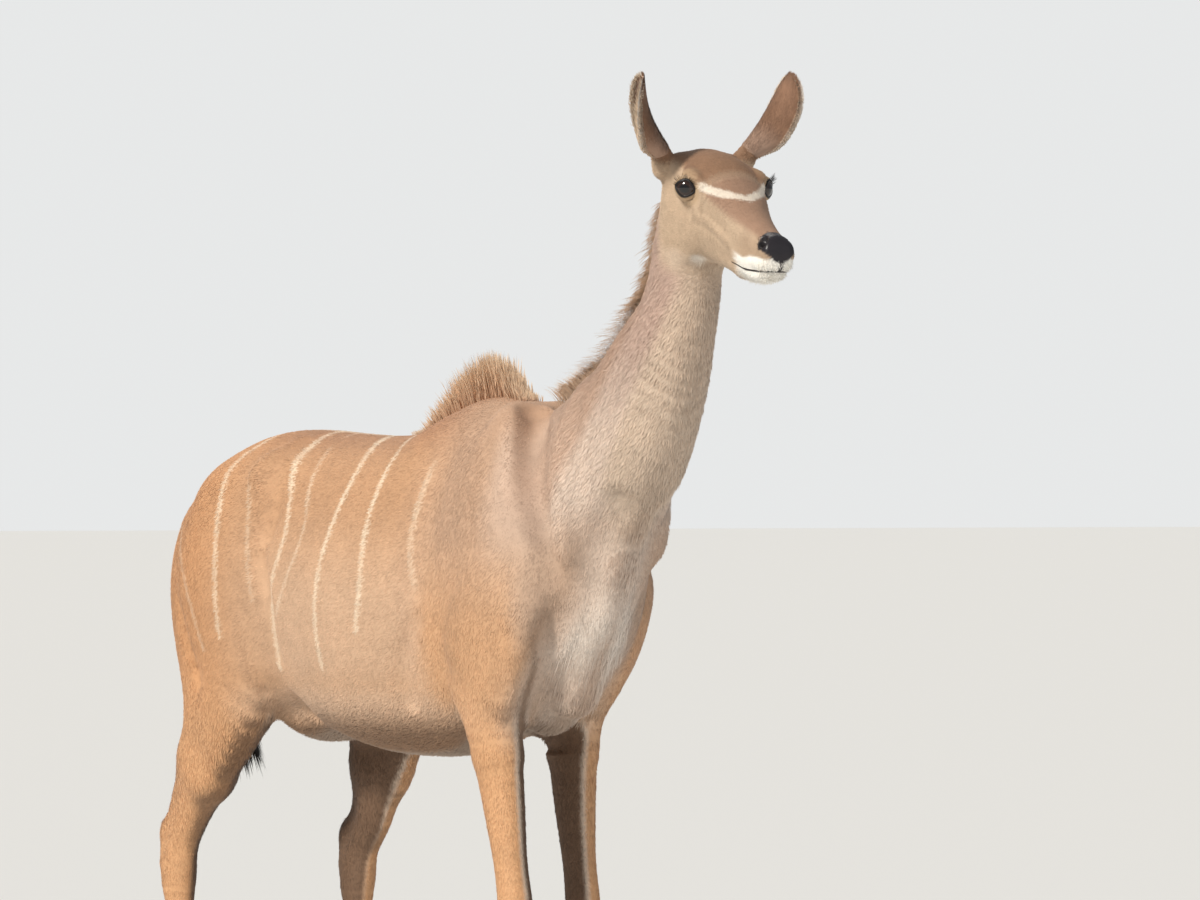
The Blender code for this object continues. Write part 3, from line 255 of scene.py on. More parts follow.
LEAST_SLOPE = 0.1

FLESH_NODES = (
    ["torso", "neck", "head", "tail"]
    + [f"{leg}_{side}_{part}" for leg in ("foreleg", "hindleg") for side in SIDES for part in ("upper", "lower")]
)
HOOF_NODES = [
    f"hoof_{leg}_{side}_{claw}"
    for leg in ("fore", "hind")
    for side in SIDES
    for claw in ("inner", "outer")
]

# The photograph's camera.
AZIMUTH = math.radians(60)
DISTANCE = 22.0
PIXELS_PER_METRE = 590
PHOTO_WIDTH = 1200
SENSOR = 36.0
TARGET_RIGHT = 0.31
TARGET_HEIGHT = 1.186

# Grid lines of the skin: places along each axis and the spacing there.
LINES_X = (
    (-0.76, 0.32, 0.40, 0.68, 0.76, 0.88, 1.26, 1.29),
    (0.0078, 0.0078, 0.0060, 0.0060, 0.0070, 0.0034, 0.0034, 0.0060),
)
LINES_Y = (
    (-0.25, -0.18, -0.13, -0.088, 0.088, 0.13, 0.18, 0.25),
    (0.0085, 0.0070, 0.0056, 0.0036, 0.0036, 0.0056, 0.0070, 0.0085),
)
LINES_Z = (
    (0.020, 0.12, 0.60, 0.84, 1.26, 1.34, 1.44, 1.72, 1.77),
    (0.0056, 0.0060, 0.0078, 0.0070, 0.0068, 0.0070, 0.0034, 0.0034, 0.0060),
)
SKIP = 3  # every so manieth line makes the rough grid that finds the surface
BAND = 0.018  # how near the surface the fine grid is worked out
CHUNK = 150000

# How far the skin lies inside the solid, for the coat to fill.
DEPTH_BODY = 0.0045
DEPTH_HEAD = 0.0022
DEPTH_FOOT = 0.0018

# Pale stripes of the flank and rump: half width, strength, then points (x, distance from the middle, z).
STRIPES = (
    (0.0050, 0.50, ((-0.553, 0.158, 1.057), (-0.514, 0.183, 1.022), (-0.465, 0.201, 0.976),
                    (-0.442, 0.201, 0.920), (-0.423, 0.198, 0.882), (-0.410, 0.194, 0.848))),
    (0.0060, 0.85, ((-0.420, 0.000, 1.222), (-0.392, 0.112, 1.190), (-0.384, 0.154, 1.152),
                    (-0.379, 0.177, 1.109), (-0.355, 0.194, 1.047), (-0.350, 0.203, 0.977),
                    (-0.351, 0.202, 0.916), (-0.348, 0.195, 0.870))),
    (0.0045, 0.45, ((-0.303, 0.125, 1.179), (-0.288, 0.170, 1.123), (-0.280, 0.176, 1.080),
                    (-0.251, 0.190, 0.978), (-0.243, 0.188, 0.932))),
    (0.0058, 0.90, ((-0.250, 0.000, 1.222), (-0.237, 0.054, 1.210), (-0.218, 0.107, 1.181),
                    (-0.196, 0.140, 1.142), (-0.168, 0.157, 1.099), (-0.133, 0.175, 1.062),
                    (-0.145, 0.187, 1.011), (-0.180, 0.189, 0.965), (-0.189, 0.186, 0.917),
                    (-0.197, 0.175, 0.858), (-0.205, 0.157, 0.815))),
    (0.0040, 0.60, ((-0.191, 0.000, 1.218), (-0.150, 0.092, 1.184), (-0.124, 0.139, 1.133),
                    (-0.104, 0.160, 1.100), (-0.070, 0.174, 1.073), (-0.065, 0.191, 1.022),
                    (-0.113, 0.195, 0.971), (-0.155, 0.190, 0.909))),
    (0.0060, 0.95, ((-0.070, 0.000, 1.216), (-0.035, 0.060, 1.206), (0.011, 0.105, 1.174),
                    (0.034, 0.151, 1.124), (0.029, 0.179, 1.068), (0.015, 0.198, 1.004),
                    (0.012, 0.206, 0.935), (0.004, 0.203, 0.887), (0.011, 0.196, 0.842),
                    (0.003, 0.187, 0.818))),
    (0.0060, 0.95, ((0.036, 0.013, 1.222), (0.090, 0.065, 1.212), (0.141, 0.110, 1.188),
                    (0.137, 0.154, 1.124), (0.143, 0.178, 1.063), (0.148, 0.192, 1.000),
                    (0.154, 0.197, 0.936), (0.139, 0.197, 0.884))),
    (0.0050, 0.55, ((0.277, 0.126, 1.166), (0.275, 0.146, 1.119), (0.269, 0.162, 1.064),
                    (0.268, 0.171, 1.011), (0.285, 0.173, 0.959))),
)

STRIPE_VIEW = np.array((1.0, 0.35, 1.0))  # a stripe's place counts less across the body than along it

NOSTRIL_PIT = (0.0125, 0.0150, 0.0092)  # deeper in the skin than in the solid

# The eyes look further forward than their orbits: the way, and half the opening of the lids.
SIGHT = (0.74, 0.66, 0.10)
SLIT_LONG = math.radians(46)
SLIT_HIGH = math.radians(40)
RIM_BROAD = 0.0024

# Relief of the face in the head's own frame: height, half width, then points (x, distance from the middle, z).
FACE_RELIEF = (
    (-0.0080, 0.020, ((0.021, 0.067, 0.000), (0.023, 0.065, -0.016))),
    (-0.0120, 0.032, ((0.238, 0.0, -0.040), (0.243, 0.0, -0.060))),
    (-0.0110, 0.034, ((0.222, 0.000, -0.126), (0.190, 0.010, -0.134), (0.150, 0.016, -0.136))),
    (-0.0040, 0.018, ((0.050, 0.052, -0.030), (0.085, 0.044, -0.045))),
    (0.0035, 0.016, ((0.020, 0.060, -0.045), (0.080, 0.047, -0.062), (0.110, 0.040, -0.072))),
    (0.0030, 0.016, ((-0.030, 0.055, 0.022), (0.000, 0.062, 0.020), (0.026, 0.056, 0.006))),
    (-0.0030, 0.014, ((0.175, 0.030, -0.046), (0.190, 0.032, -0.058))),
)

# The keel of the chest, from the throat down to the brisket.
KEEL = ((0.730, 0.030, 1.000), (0.690, 0.035, 0.915), (0.650, 0.045, 0.867), (0.560, 0.060, 0.770), (0.520, 0.055, 0.735))

# Places whose net is eased: where the neck leaves the trunk, the keel's top end and the blade's front edge.
SEAM = ((0.640, 0.045, 1.278), (0.630, 0.075, 1.215), (0.626, 0.100, 1.158), (0.640, 0.105, 1.085), (0.655, 0.100, 0.990))
KEEL_TOP = ((0.765, 0.0, 1.060), (0.715, 0.0, 1.015))
# Lines along which painted shade is laid: the hollow before the blade and the furrow down its front.
BLADE_HOLLOW = ((0.480, 0.048, 1.250), (0.505, 0.064, 1.232), (0.535, 0.088, 1.205))
BLADE_FURROW = ((0.535, 0.088, 1.205), (0.560, 0.112, 1.150), (0.590, 0.122, 1.090), (0.625, 0.120, 1.030))
# The blade's front edge, whose net is eased.
BLADE_EDGE = ((0.440, 0.050, 1.255), (0.525, 0.108, 1.186), (0.565, 0.128, 1.124), (0.590, 0.132, 1.068))

# Relief under the skin: height, half width, then a line of points (x, distance from the middle, z).
RELIEF = (
    (0.0110, 0.048, ((0.420, 0.050, 1.255), (0.515, 0.112, 1.186), (0.552, 0.132, 1.124),
                     (0.590, 0.132, 1.068), (0.620, 0.122, 1.030))),
    (-0.0400, 0.042, ((0.470, 0.036, 1.258), (0.490, 0.048, 1.248), (0.562, 0.098, 1.186),
                      (0.582, 0.112, 1.155))),
    (0.0150, 0.045, ((0.654, 0.045, 1.278), (0.650, 0.075, 1.215), (0.646, 0.100, 1.158),
                     (0.658, 0.105, 1.085), (0.668, 0.100, 1.010))),
    (-0.0150, 0.042, ((0.628, 0.080, 0.915), (0.600, 0.088, 0.868))),
    (-0.0220, 0.055, ((0.770, 0.048, 1.085), (0.745, 0.060, 1.050), (0.722, 0.066, 1.010))),
    (0.0350, 0.045, ((0.697, 0.000, 1.000), (0.664, 0.000, 0.950),
                     (0.651, 0.000, 0.915), (0.622, 0.000, 0.867), (0.582, 0.000, 0.820), (0.545, 0.000, 0.770))),
    (-0.0070, 0.050, ((0.300, 0.110, 1.200), (0.310, 0.155, 1.060), (0.298, 0.168, 0.950))),
    (0.0120, 0.080, ((0.500, 0.155, 0.950), (0.430, 0.165, 0.860))),
    (-0.0140, 0.030, ((0.292, 0.170, 0.900), (0.245, 0.170, 0.825), (0.225, 0.150, 0.760))),
    (-0.0120, 0.032, ((0.580, 0.074, 0.820), (0.545, 0.066, 0.775), (0.515, 0.060, 0.735))),
    (-0.0060, 0.026, ((0.560, 0.150, 0.880), (0.520, 0.132, 0.790))),
    (-0.0220, 0.090, ((0.280, 0.000, 0.680), (0.400, 0.000, 0.705), (0.500, 0.000, 0.745))),
    (-0.0150, 0.040, ((-0.225, 0.150, 1.150), (-0.212, 0.165, 1.110), (-0.215, 0.172, 1.050))),
    (0.0090, 0.034, ((-0.282, 0.159, 1.152), (-0.278, 0.074, 1.203))),
    (-0.0100, 0.032, ((-0.225, 0.180, 1.000), (-0.204, 0.180, 0.958), (-0.190, 0.180, 0.898),
                      (-0.195, 0.170, 0.840))),
    (-0.0280, 0.045, ((-0.230, 0.200, 0.740), (-0.210, 0.100, 0.735))),
    (0.0060, 0.028, ((-0.290, 0.180, 0.890), (-0.280, 0.160, 0.790))),
    (-0.0070, 0.030, ((-0.545, 0.140, 1.030), (-0.510, 0.168, 0.910), (-0.478, 0.165, 0.790))),
    (-0.0050, 0.032, ((0.700, 0.095, 1.215), (0.790, 0.078, 1.300), (0.860, 0.060, 1.400))),
    (-0.0028, 0.010, ((0.430, 0.146, 1.150), (0.452, 0.152, 1.110), (0.460, 0.156, 1.060))),
    (-0.0024, 0.009, ((0.480, 0.158, 1.030), (0.486, 0.162, 0.985))),
    (-0.0024, 0.012, ((0.040, 0.196, 1.060), (0.052, 0.206, 0.960), (0.040, 0.204, 0.860))),
    (-0.0024, 0.012, ((0.100, 0.194, 1.050), (0.112, 0.204, 0.950), (0.100, 0.202, 0.850))),
    (-0.0024, 0.012, ((0.165, 0.188, 1.040), (0.175, 0.198, 0.940), (0.165, 0.196, 0.840))),
)

# Colours of the coat, as seen (sRGB, 0 to 255).
FLANK = (193, 150, 114)
BACK = (170, 124, 94)
SIDE = (208, 173, 143)
BELLY = (239, 219, 199)
RUMP = (203, 151, 107)
SHOULDER = (192, 158, 132)
CHEST = (190, 162, 140)
NECK_LOW = (214, 193, 176)
NECK_HIGH = (191, 163, 147)
NAPE = (190, 157, 134)
THROAT = (208, 186, 164)
LEG = (208, 160, 117)
FOOT = (188, 145, 109)
# The legs' darker inner coat, made darker still as painted shade; also painted shade on undersides.
INNER_COAT_AND_SHADE = (114, 88, 68)
STRIPE = (240, 222, 196)
CREST = (216, 180, 150)
CREST_TIP = (230, 201, 169)
MANE = (214, 192, 170)
BROW = (140, 104, 78)
CHEVRON = (232, 220, 204)
BRIDGE = (156, 122, 100)
CHEEK_TONE = (193, 168, 142)
MUZZLE = (170, 144, 120)
WHITE = (244, 239, 230)
NOSE = (42, 38, 42)
LID = (26, 20, 18)
NOSTRIL_MIDDLE = (0.207, 0.0262, -0.047)
EYE_RING = (188, 160, 128)
EAR_BACK = (143, 108, 85)
EAR_INNER = (186, 158, 140)
EAR_HAIR = (226, 208, 186)
TAIL_BACK = (168, 116, 82)
TAIL_TIP = (48, 34, 26)
DARK = (74, 52, 40)
# Painted shade for the hollow and the furrow before the blade.
PAINTED_HOLLOW_SHADE = (104, 72, 54)



def smooth_rows(rows, per_span):
    """A Catmull-Rom curve through the rows, every column interpolated."""
    rows = np.array(rows, dtype=float)
    padded = np.vstack([2 * rows[0] - rows[1], rows, 2 * rows[-1] - rows[-2]])
    out = []
    for i in range(1, len(padded) - 2):
        before, start, end, after = padded[i - 1 : i + 3]
        for t in np.linspace(0, 1, per_span, endpoint=False):
            out.append(
                0.5
                * (
                    2 * start
                    + (end - before) * t
                    + (2 * before - 5 * start + 4 * end - after) * t * t
                    + (3 * start - before - 3 * end + after) * t**3
                )
            )
    out.append(rows[-1])
    return np.array(out)


def smooth_min(a, b, blend):
    reach = np.maximum(blend - np.abs(a - b), 0.0) / blend
    return np.minimum(a, b) - reach * reach * blend * 0.25


def ellipse_distance(parts, radii):
    """About how far points lie outside an ellipse or ellipsoid, given their parts along its axes."""
    unit = np.sqrt(sum((p / r) ** 2 for p, r in zip(parts, radii)))
    slope = np.sqrt(sum((p / r**2) ** 2 for p, r in zip(parts, radii)))
    return unit * (unit - 1) / np.maximum(slope, 1e-6)


def tube(points, path, side):
    """Distance to a tube whose rows hold x, y, z, half width along side, half depth."""
    best = np.full(len(points), FAR)
    for start, end in zip(path[:-1], path[1:]):
        axis = end[:3] - start[:3]
        length = np.linalg.norm(axis)
        axis = axis / length
        across = side - axis * np.dot(side, axis)
        across = across / np.linalg.norm(across)
        depth = np.cross(axis, across)
        rel = points - start[:3]
        along = rel @ axis
        t = np.clip(along / length, 0, 1)
        wide = start[3] + t * (end[3] - start[3])
        deep = start[4] + t * (end[4] - start[4])
        over = along - t * length
        parts = (rel @ across, rel @ depth, over)
        best = np.minimum(best, ellipse_distance(parts, (wide, deep, np.minimum(wide, deep))))
    return best


def ball(points, centre, radii, turn=None):
    """Distance to an ellipsoid; turn holds its axes as columns."""
    rel = points - np.array(centre)
    if turn is not None:
        rel = rel @ np.array(turn)
    return ellipse_distance((rel[:, 0], rel[:, 1], rel[:, 2]), radii)


def trunk(points):
    """Distance to the trunk, whose upper and lower halves have their own depth."""
    rows = smooth_rows(TRUNK, 8)
    x = points[:, 0]
    top, wide_at, bottom, wide = (np.interp(x, rows[:, 0], rows[:, i]) for i in range(1, 5))
    up = points[:, 2] - wide_at
    deep = np.where(up > 0, top - wide_at, wide_at - bottom)
    over = x - np.clip(x, rows[0, 0], rows[-1, 0])
    return ellipse_distance((points[:, 1], up, over), (wide, deep, np.full(len(x), TRUNK_END)))


def head_matrix():
    yaw = Matrix.Rotation(HEAD_YAW, 4, "Z")
    pitch = Matrix.Rotation(HEAD_PITCH, 4, "Y")
    return Matrix.Translation(EYE_MIDDLE) @ yaw @ pitch


def in_head(points):
    """World points in the head's frame: forward, left, up."""
    back = np.array(head_matrix().inverted())
    return points @ back[:3, :3].T + back[:3, 3]


def leg_rows(rows, x, sign):
    """A leg's rows in the world."""
    out = np.array(rows, dtype=float)
    out[:, 0] += x
    out[:, 1] *= sign
    return out


def leaning_rows(rows, side):
    """Rows of the hind leg, which stand at the hock below and lean from there to the shared hip."""
    out = leg_rows(rows, HOCK_X[side], SIDES[side])
    reach = np.clip((out[:, 2] - GASKIN_FOOT) / (HIP_HEIGHT - GASKIN_FOOT), 0, 1)
    out[:, 0] += (HIP_X - HOCK_X[side] - HINDLEG_TOP[1][0]) * reach
    return out


def hind_rows(side):
    low = leg_rows(HINDLEG_LOW, HOCK_X[side], SIDES[side])
    return np.vstack([leaning_rows(HINDLEG_TOP, side), low])


def pieces_of_flesh():
    """Every form of the flesh as (distance function, lowest corner, highest corner, blend)."""
    side = np.array((0.0, 1.0, 0.0))
    out = []

    def add(function, low, high, blend):
        out.append((function, np.array(low, dtype=float), np.array(high, dtype=float), blend))

    def add_tube(rows, blend, per_span=4, along=side):
        path = smooth_rows(rows, per_span)
        reach = path[:, 3:5].max(axis=1)[:, None]
        low = (path[:, :3] - reach).min(axis=0)
        high = (path[:, :3] + reach).max(axis=0)
        add(lambda p: tube(p, path, along), low, high, blend)

    def add_ball(centre, radii, blend, lean=0.0, yaw=0.0):
        turn = Matrix.Rotation(yaw, 3, "Z") @ Matrix.Rotation(lean, 3, "Y")
        reach = max(radii)
        low = np.array(centre) - reach
        high = np.array(centre) + reach
        add(lambda p: ball(p, centre, radii, turn), low, high, blend)

    add(trunk, (-0.70, -0.23, 0.62), (0.70, 0.23, 1.32), 0.03)
    add_tube(NECK, 0.09)
    for name, sign in SIDES.items():
        rows = leg_rows(FORELEG, FORE_X[name], sign)
        add_tube(rows[:7], 0.055)
        add_tube(rows[6:], 0.012)
        x = FORE_X[name]
        add_ball((x - 0.035, sign * 0.100, 0.790), (0.040, 0.034, 0.040), 0.04)
        add_ball((x + 0.034, sign * 0.086, 0.405), (0.016, 0.018, 0.024), 0.014)
        rows = hind_rows(name)
        add_tube(rows[:6], 0.06)
        add_tube(leaning_rows(HAMSTRING, name), 0.05)
        add_tube(rows[5:], 0.035)
        x = HOCK_X[name]
        # The point of the hock and the tendon that rises from it.
        add_tube(
            (
                (x - 0.026, sign * 0.104, 0.478, 0.015, 0.017),
                (x - 0.030, sign * 0.104, 0.510, 0.014, 0.015),
                (x - 0.020, sign * 0.105, 0.530, 0.014, 0.016),
            ),
            0.030,
        )
    add_tube(TAIL[:4], 0.02)
    # Hip bones and udder.
    add_ball((-0.265, -0.120, 1.125), (0.050, 0.036, 0.040), 0.06)
    add_ball((-0.265, 0.120, 1.125), (0.050, 0.036, 0.040), 0.06)
    add_ball((-0.300, 0.0, 0.735), (0.085, 0.075, 0.050), 0.05)
    # Breast bone and the fold of skin before it.
    add_ball((0.480, 0.0, 0.760), (0.090, 0.060, 0.060), 0.05, lean=math.radians(-35))
    return out


def flesh(points, pieces):
    """The body's distance field at the points."""
    field = np.full(len(points), FAR)
    for function, low, high, blend in pieces:
        margin = blend + 0.02
        near = np.all((points > low - margin) & (points < high + margin), axis=1)
        if near.any():
            field[near] = smooth_min(field[near], function(points[near]), blend)
    return field


def pieces_of_head():
    """The head's forms, in the head's frame."""
    side = np.array((0.0, 1.0, 0.0))
    skull = smooth_rows(SKULL, 5)
    mandible = smooth_rows(MANDIBLE, 5)
    cheek = smooth_rows(CHEEK, 5)
    forms = [
        (lambda p: tube(p, skull, side), 0.01),
        (lambda p: tube(p, mandible, side), 0.022),
        (lambda p: tube(p, cheek, side), 0.018),
        (lambda p: ball(p, NOSE_PLACE, NOSE_SIZE), 0.014),
        (lambda p: ball(p, (0.196, 0.0, -0.082), (0.038, 0.0350, 0.019)), 0.010),
        (lambda p: ball(p, (0.184, 0.0, -0.107), (0.030, 0.0265, 0.016)), 0.012),
    ]
    for sign in (-1, 1):
        eye = (EYE_PLACE[0], sign * ORBIT_SIDE, EYE_PLACE[2])
        forms += [
            (lambda p, e=eye: ball(p, e, (0.031, 0.0185, 0.0270)), 0.016),
            (lambda p, s=sign: ball(p, (-0.030, s * 0.041, -0.080), (0.048, 0.020, 0.048)), 0.03),
        ]
    for side_name in SIDES:
        stump = ear_stump(side_name)
        forms.append((lambda p, rows=stump: tube(p, rows, np.array((1.0, 0.0, 0.0))), 0.018))
    return forms


def to_head(vector):
    """A direction of the world in the head's frame."""
    return head_matrix().to_3x3().inverted() @ Vector(vector)


def ear_frame(side):
    """The ear's root, its lean, its opening and the way across it, in the world."""
    root = head_matrix() @ Vector((EAR_ROOT[0], SIDES[side] * EAR_ROOT[1], EAR_ROOT[2]))
    lean = Vector(EAR_LEAN[side]).normalized()
    opening = Vector(EAR_OPENING[side])
    opening = (opening - lean * opening.dot(lean)).normalized()
    return root, lean, opening, lean.cross(opening)


def ear_stump(side):
    """The short root of the ear on the skull, in the head's frame."""
    root = np.array((EAR_ROOT[0], SIDES[side] * EAR_ROOT[1], EAR_ROOT[2]))
    lean = np.array(to_head(ear_frame(side)[1]))
    inner = root - np.array((0.0, SIDES[side] * 0.020, 0.004))
    rows = ((inner, 0.028), (root, 0.023), (root + lean * (EAR_STUMP + 0.012), 0.0155))
    return np.array([(*place, radius, radius) for place, radius in rows])


def head_field(points, forms):
    local = in_head(points)
    field = np.full(len(points), FAR)
    for function, blend in forms:
        field = smooth_min(field, function(local), blend)
    return field


def surface_net(field, low, step, shape):
    """The zero surface of a field on a grid: a point in each cell it crosses, a square across each edge."""
    values = field.reshape(shape)
    inside = values < 0
    corners = [(i, j, k) for i in (0, 1) for j in (0, 1) for k in (0, 1)]
    count = sum(
        inside[i : shape[0] - 1 + i, j : shape[1] - 1 + j, k : shape[2] - 1 + k].astype(int)
        for i, j, k in corners
    )
    cells = np.argwhere((count > 0) & (count < 8))
    index = np.full(count.shape, -1)
    index[tuple(cells.T)] = np.arange(len(cells))
    total = np.zeros((len(cells), 3))
    hits = np.zeros(len(cells))
    for a in corners:
        for axis in range(3):
            if a[axis]:
                continue
            b = list(a)
            b[axis] = 1
            va = values[tuple((cells + a).T)]
            vb = values[tuple((cells + b).T)]
            cut = (va < 0) != (vb < 0)
            t = np.where(cut, va / np.where(cut, va - vb, 1), 0)
            place = np.array(a) + t[:, None] * (np.array(b) - a)
            total += place * cut[:, None]
            hits += cut
    points = low + step * (cells + total / hits[:, None])
    faces = []
    for axis in range(3):
        u, v = [(1, 2), (2, 0), (0, 1)][axis]
        ahead = [slice(None)] * 3
        behind = [slice(None)] * 3
        ahead[axis] = slice(1, None)
        behind[axis] = slice(None, -1)
        first, second = inside[tuple(behind)], inside[tuple(ahead)]
        for where, flip in ((first & ~second, False), (~first & second, True)):
            edges = np.argwhere(where)
            inner = (edges[:, u] > 0) & (edges[:, v] > 0)
            inner &= (edges[:, u] < shape[u] - 1) & (edges[:, v] < shape[v] - 1)
            edges = edges[inner]
            ring = []
            for du, dv in ((-1, -1), (0, -1), (0, 0), (-1, 0)):
                cell = edges.copy()
                cell[:, u] += du
                cell[:, v] += dv
                ring.append(index[tuple(cell.T)])
            quad = np.stack(ring, axis=1)
            faces.append(quad[:, ::-1] if flip else quad)
    return points, np.vstack(faces)


def new_object(name, mesh):
    thing = bpy.data.objects.new(name, mesh)
    bpy.context.scene.collection.objects.link(thing)
    return thing


def whole(points, flesh_pieces, head_forms):
    """The field of the whole animal, head and flesh melted together."""
    field = flesh(points, flesh_pieces)
    near = points[:, 0] > HEAD_FROM
    field[near] = smooth_min(field[near], head_field(points[near], head_forms), HEAD_BLEND)
    return field


def ring_mesh(name, rings, tip=None):
    """A closed mesh from rings of points of one length, capped at its ends or drawn to a tip."""
    size = len(rings[0])
    points = [point for ring in rings for point in ring]
    faces = [tuple(reversed(range(size)))]
    for i in range(len(rings) - 1):
        for j in range(size):
            k = (j + 1) % size
            faces.append((i * size + j, i * size + k, (i + 1) * size + k, (i + 1) * size + j))
    last = (len(rings) - 1) * size
    if tip is None:
        faces.append(tuple(range(last, last + size)))
    else:
        points.append(tip)
        faces += [(last + j, last + (j + 1) % size, len(points) - 1) for j in range(size)]
    mesh = bpy.data.meshes.new(name)
    mesh.from_pydata([tuple(p) for p in points], [], faces)
    work = bmesh.new()
    work.from_mesh(mesh)
    bmesh.ops.recalc_face_normals(work, faces=work.faces[:])
    if work.calc_volume(signed=True) < 0:
        bmesh.ops.reverse_faces(work, faces=work.faces[:])
    bmesh.ops.triangulate(work, faces=work.faces[:])
    work.to_mesh(mesh)
    work.free()
    return mesh


def surface_between(field, inside, outside):
    """The point where the line from a place inside the body to one outside leaves it."""
    shares = np.linspace(0, 1, 81)
    line = np.array(inside) + shares[:, None] * (np.array(outside) - np.array(inside))
    values = field(line)
    last = int(np.nonzero(values < 0)[0].max())
    step = values[last] / (values[last] - values[last + 1])
    return Vector(line[last] + step * (line[last + 1] - line[last]))


def ellipsoid(name, matrix, around=8, rings=6):
    """A unit ball put in place by a matrix."""
    work = bmesh.new()
    bmesh.ops.create_uvsphere(work, u_segments=around, v_segments=rings, radius=1.0)
    bmesh.ops.transform(work, matrix=matrix, verts=work.verts[:])
    mesh = bpy.data.meshes.new(name)
    work.to_mesh(mesh)
    work.free()
    return new_object(name, mesh)


def dewclaw(x, y, spread):
    """One of the two small claws behind a fetlock."""
    turn = Matrix.Rotation(math.radians(25), 4, "Y") @ Matrix.Diagonal((*DEWCLAW_SIZE, 1))
    place = Matrix.Translation((x - DEWCLAW_BACK, y + spread, DEWCLAW_HEIGHT))
    return ellipsoid("dewclaw", place @ turn)


def eye_place(side):
    """The eyeball's centre and the way it looks, in the world."""
    sign = SIDES[side]
    matrix = head_matrix()
    centre = matrix @ Vector((EYE_PLACE[0], sign * EYE_PLACE[1], EYE_PLACE[2]))
    look = matrix.to_3x3() @ Vector((EYE_LOOK[0], sign * EYE_LOOK[1], EYE_LOOK[2])).normalized()
    return centre, look


def paint(colour):
    """A colour as seen, in the linear values that a material takes."""
    share = np.array(colour, dtype=float) / 255
    return np.where(share <= 0.04045, share / 12.92, ((share + 0.055) / 1.055) ** 2.4)


def ramp(values, start, end):
    """0 at start, 1 at end, smooth between."""
    t = np.clip((values - start) / (end - start), 0, 1)
    return t * t * (3 - 2 * t)


def mix(base, colour, share):
    share = np.asarray(share)[:, None]
    return base * (1 - share) + paint(colour) * share


def line_distance(points, line):
    """Distance to a line of straight stretches."""
    best = np.full(len(points), FAR)
    line = np.array(line, dtype=float)
    for start, end in zip(line[:-1], line[1:]):
        way = end - start
        t = np.clip((points - start) @ way / (way @ way), 0, 1)
        best = np.minimum(best, np.linalg.norm(points - start - t[:, None] * way, axis=1))
    return best


def spot(points, centre, radius, soft):
    """1 inside a ball, 0 beyond its soft edge."""
    far = np.linalg.norm(points - np.array(centre), axis=1)
    return 1 - ramp(far, radius - soft, radius + soft)


def mottle(points, scale, turn=0.0):
    """A slow wavering between -1 and 1, the same at the same place each time."""
    p = points * (6.2832 / scale)
    a = np.sin(p[:, 0] + 1.7 * np.sin(p[:, 2] * 0.9 + turn) + turn)
    b = np.sin(p[:, 2] * 1.1 + 1.3 * np.sin(p[:, 1] * 1.2 + 2 * turn))
    c = np.sin(p[:, 1] * 1.3 + 1.1 * np.sin(p[:, 0] * 0.8 + 3 * turn))
    return (a + b + c) / 3


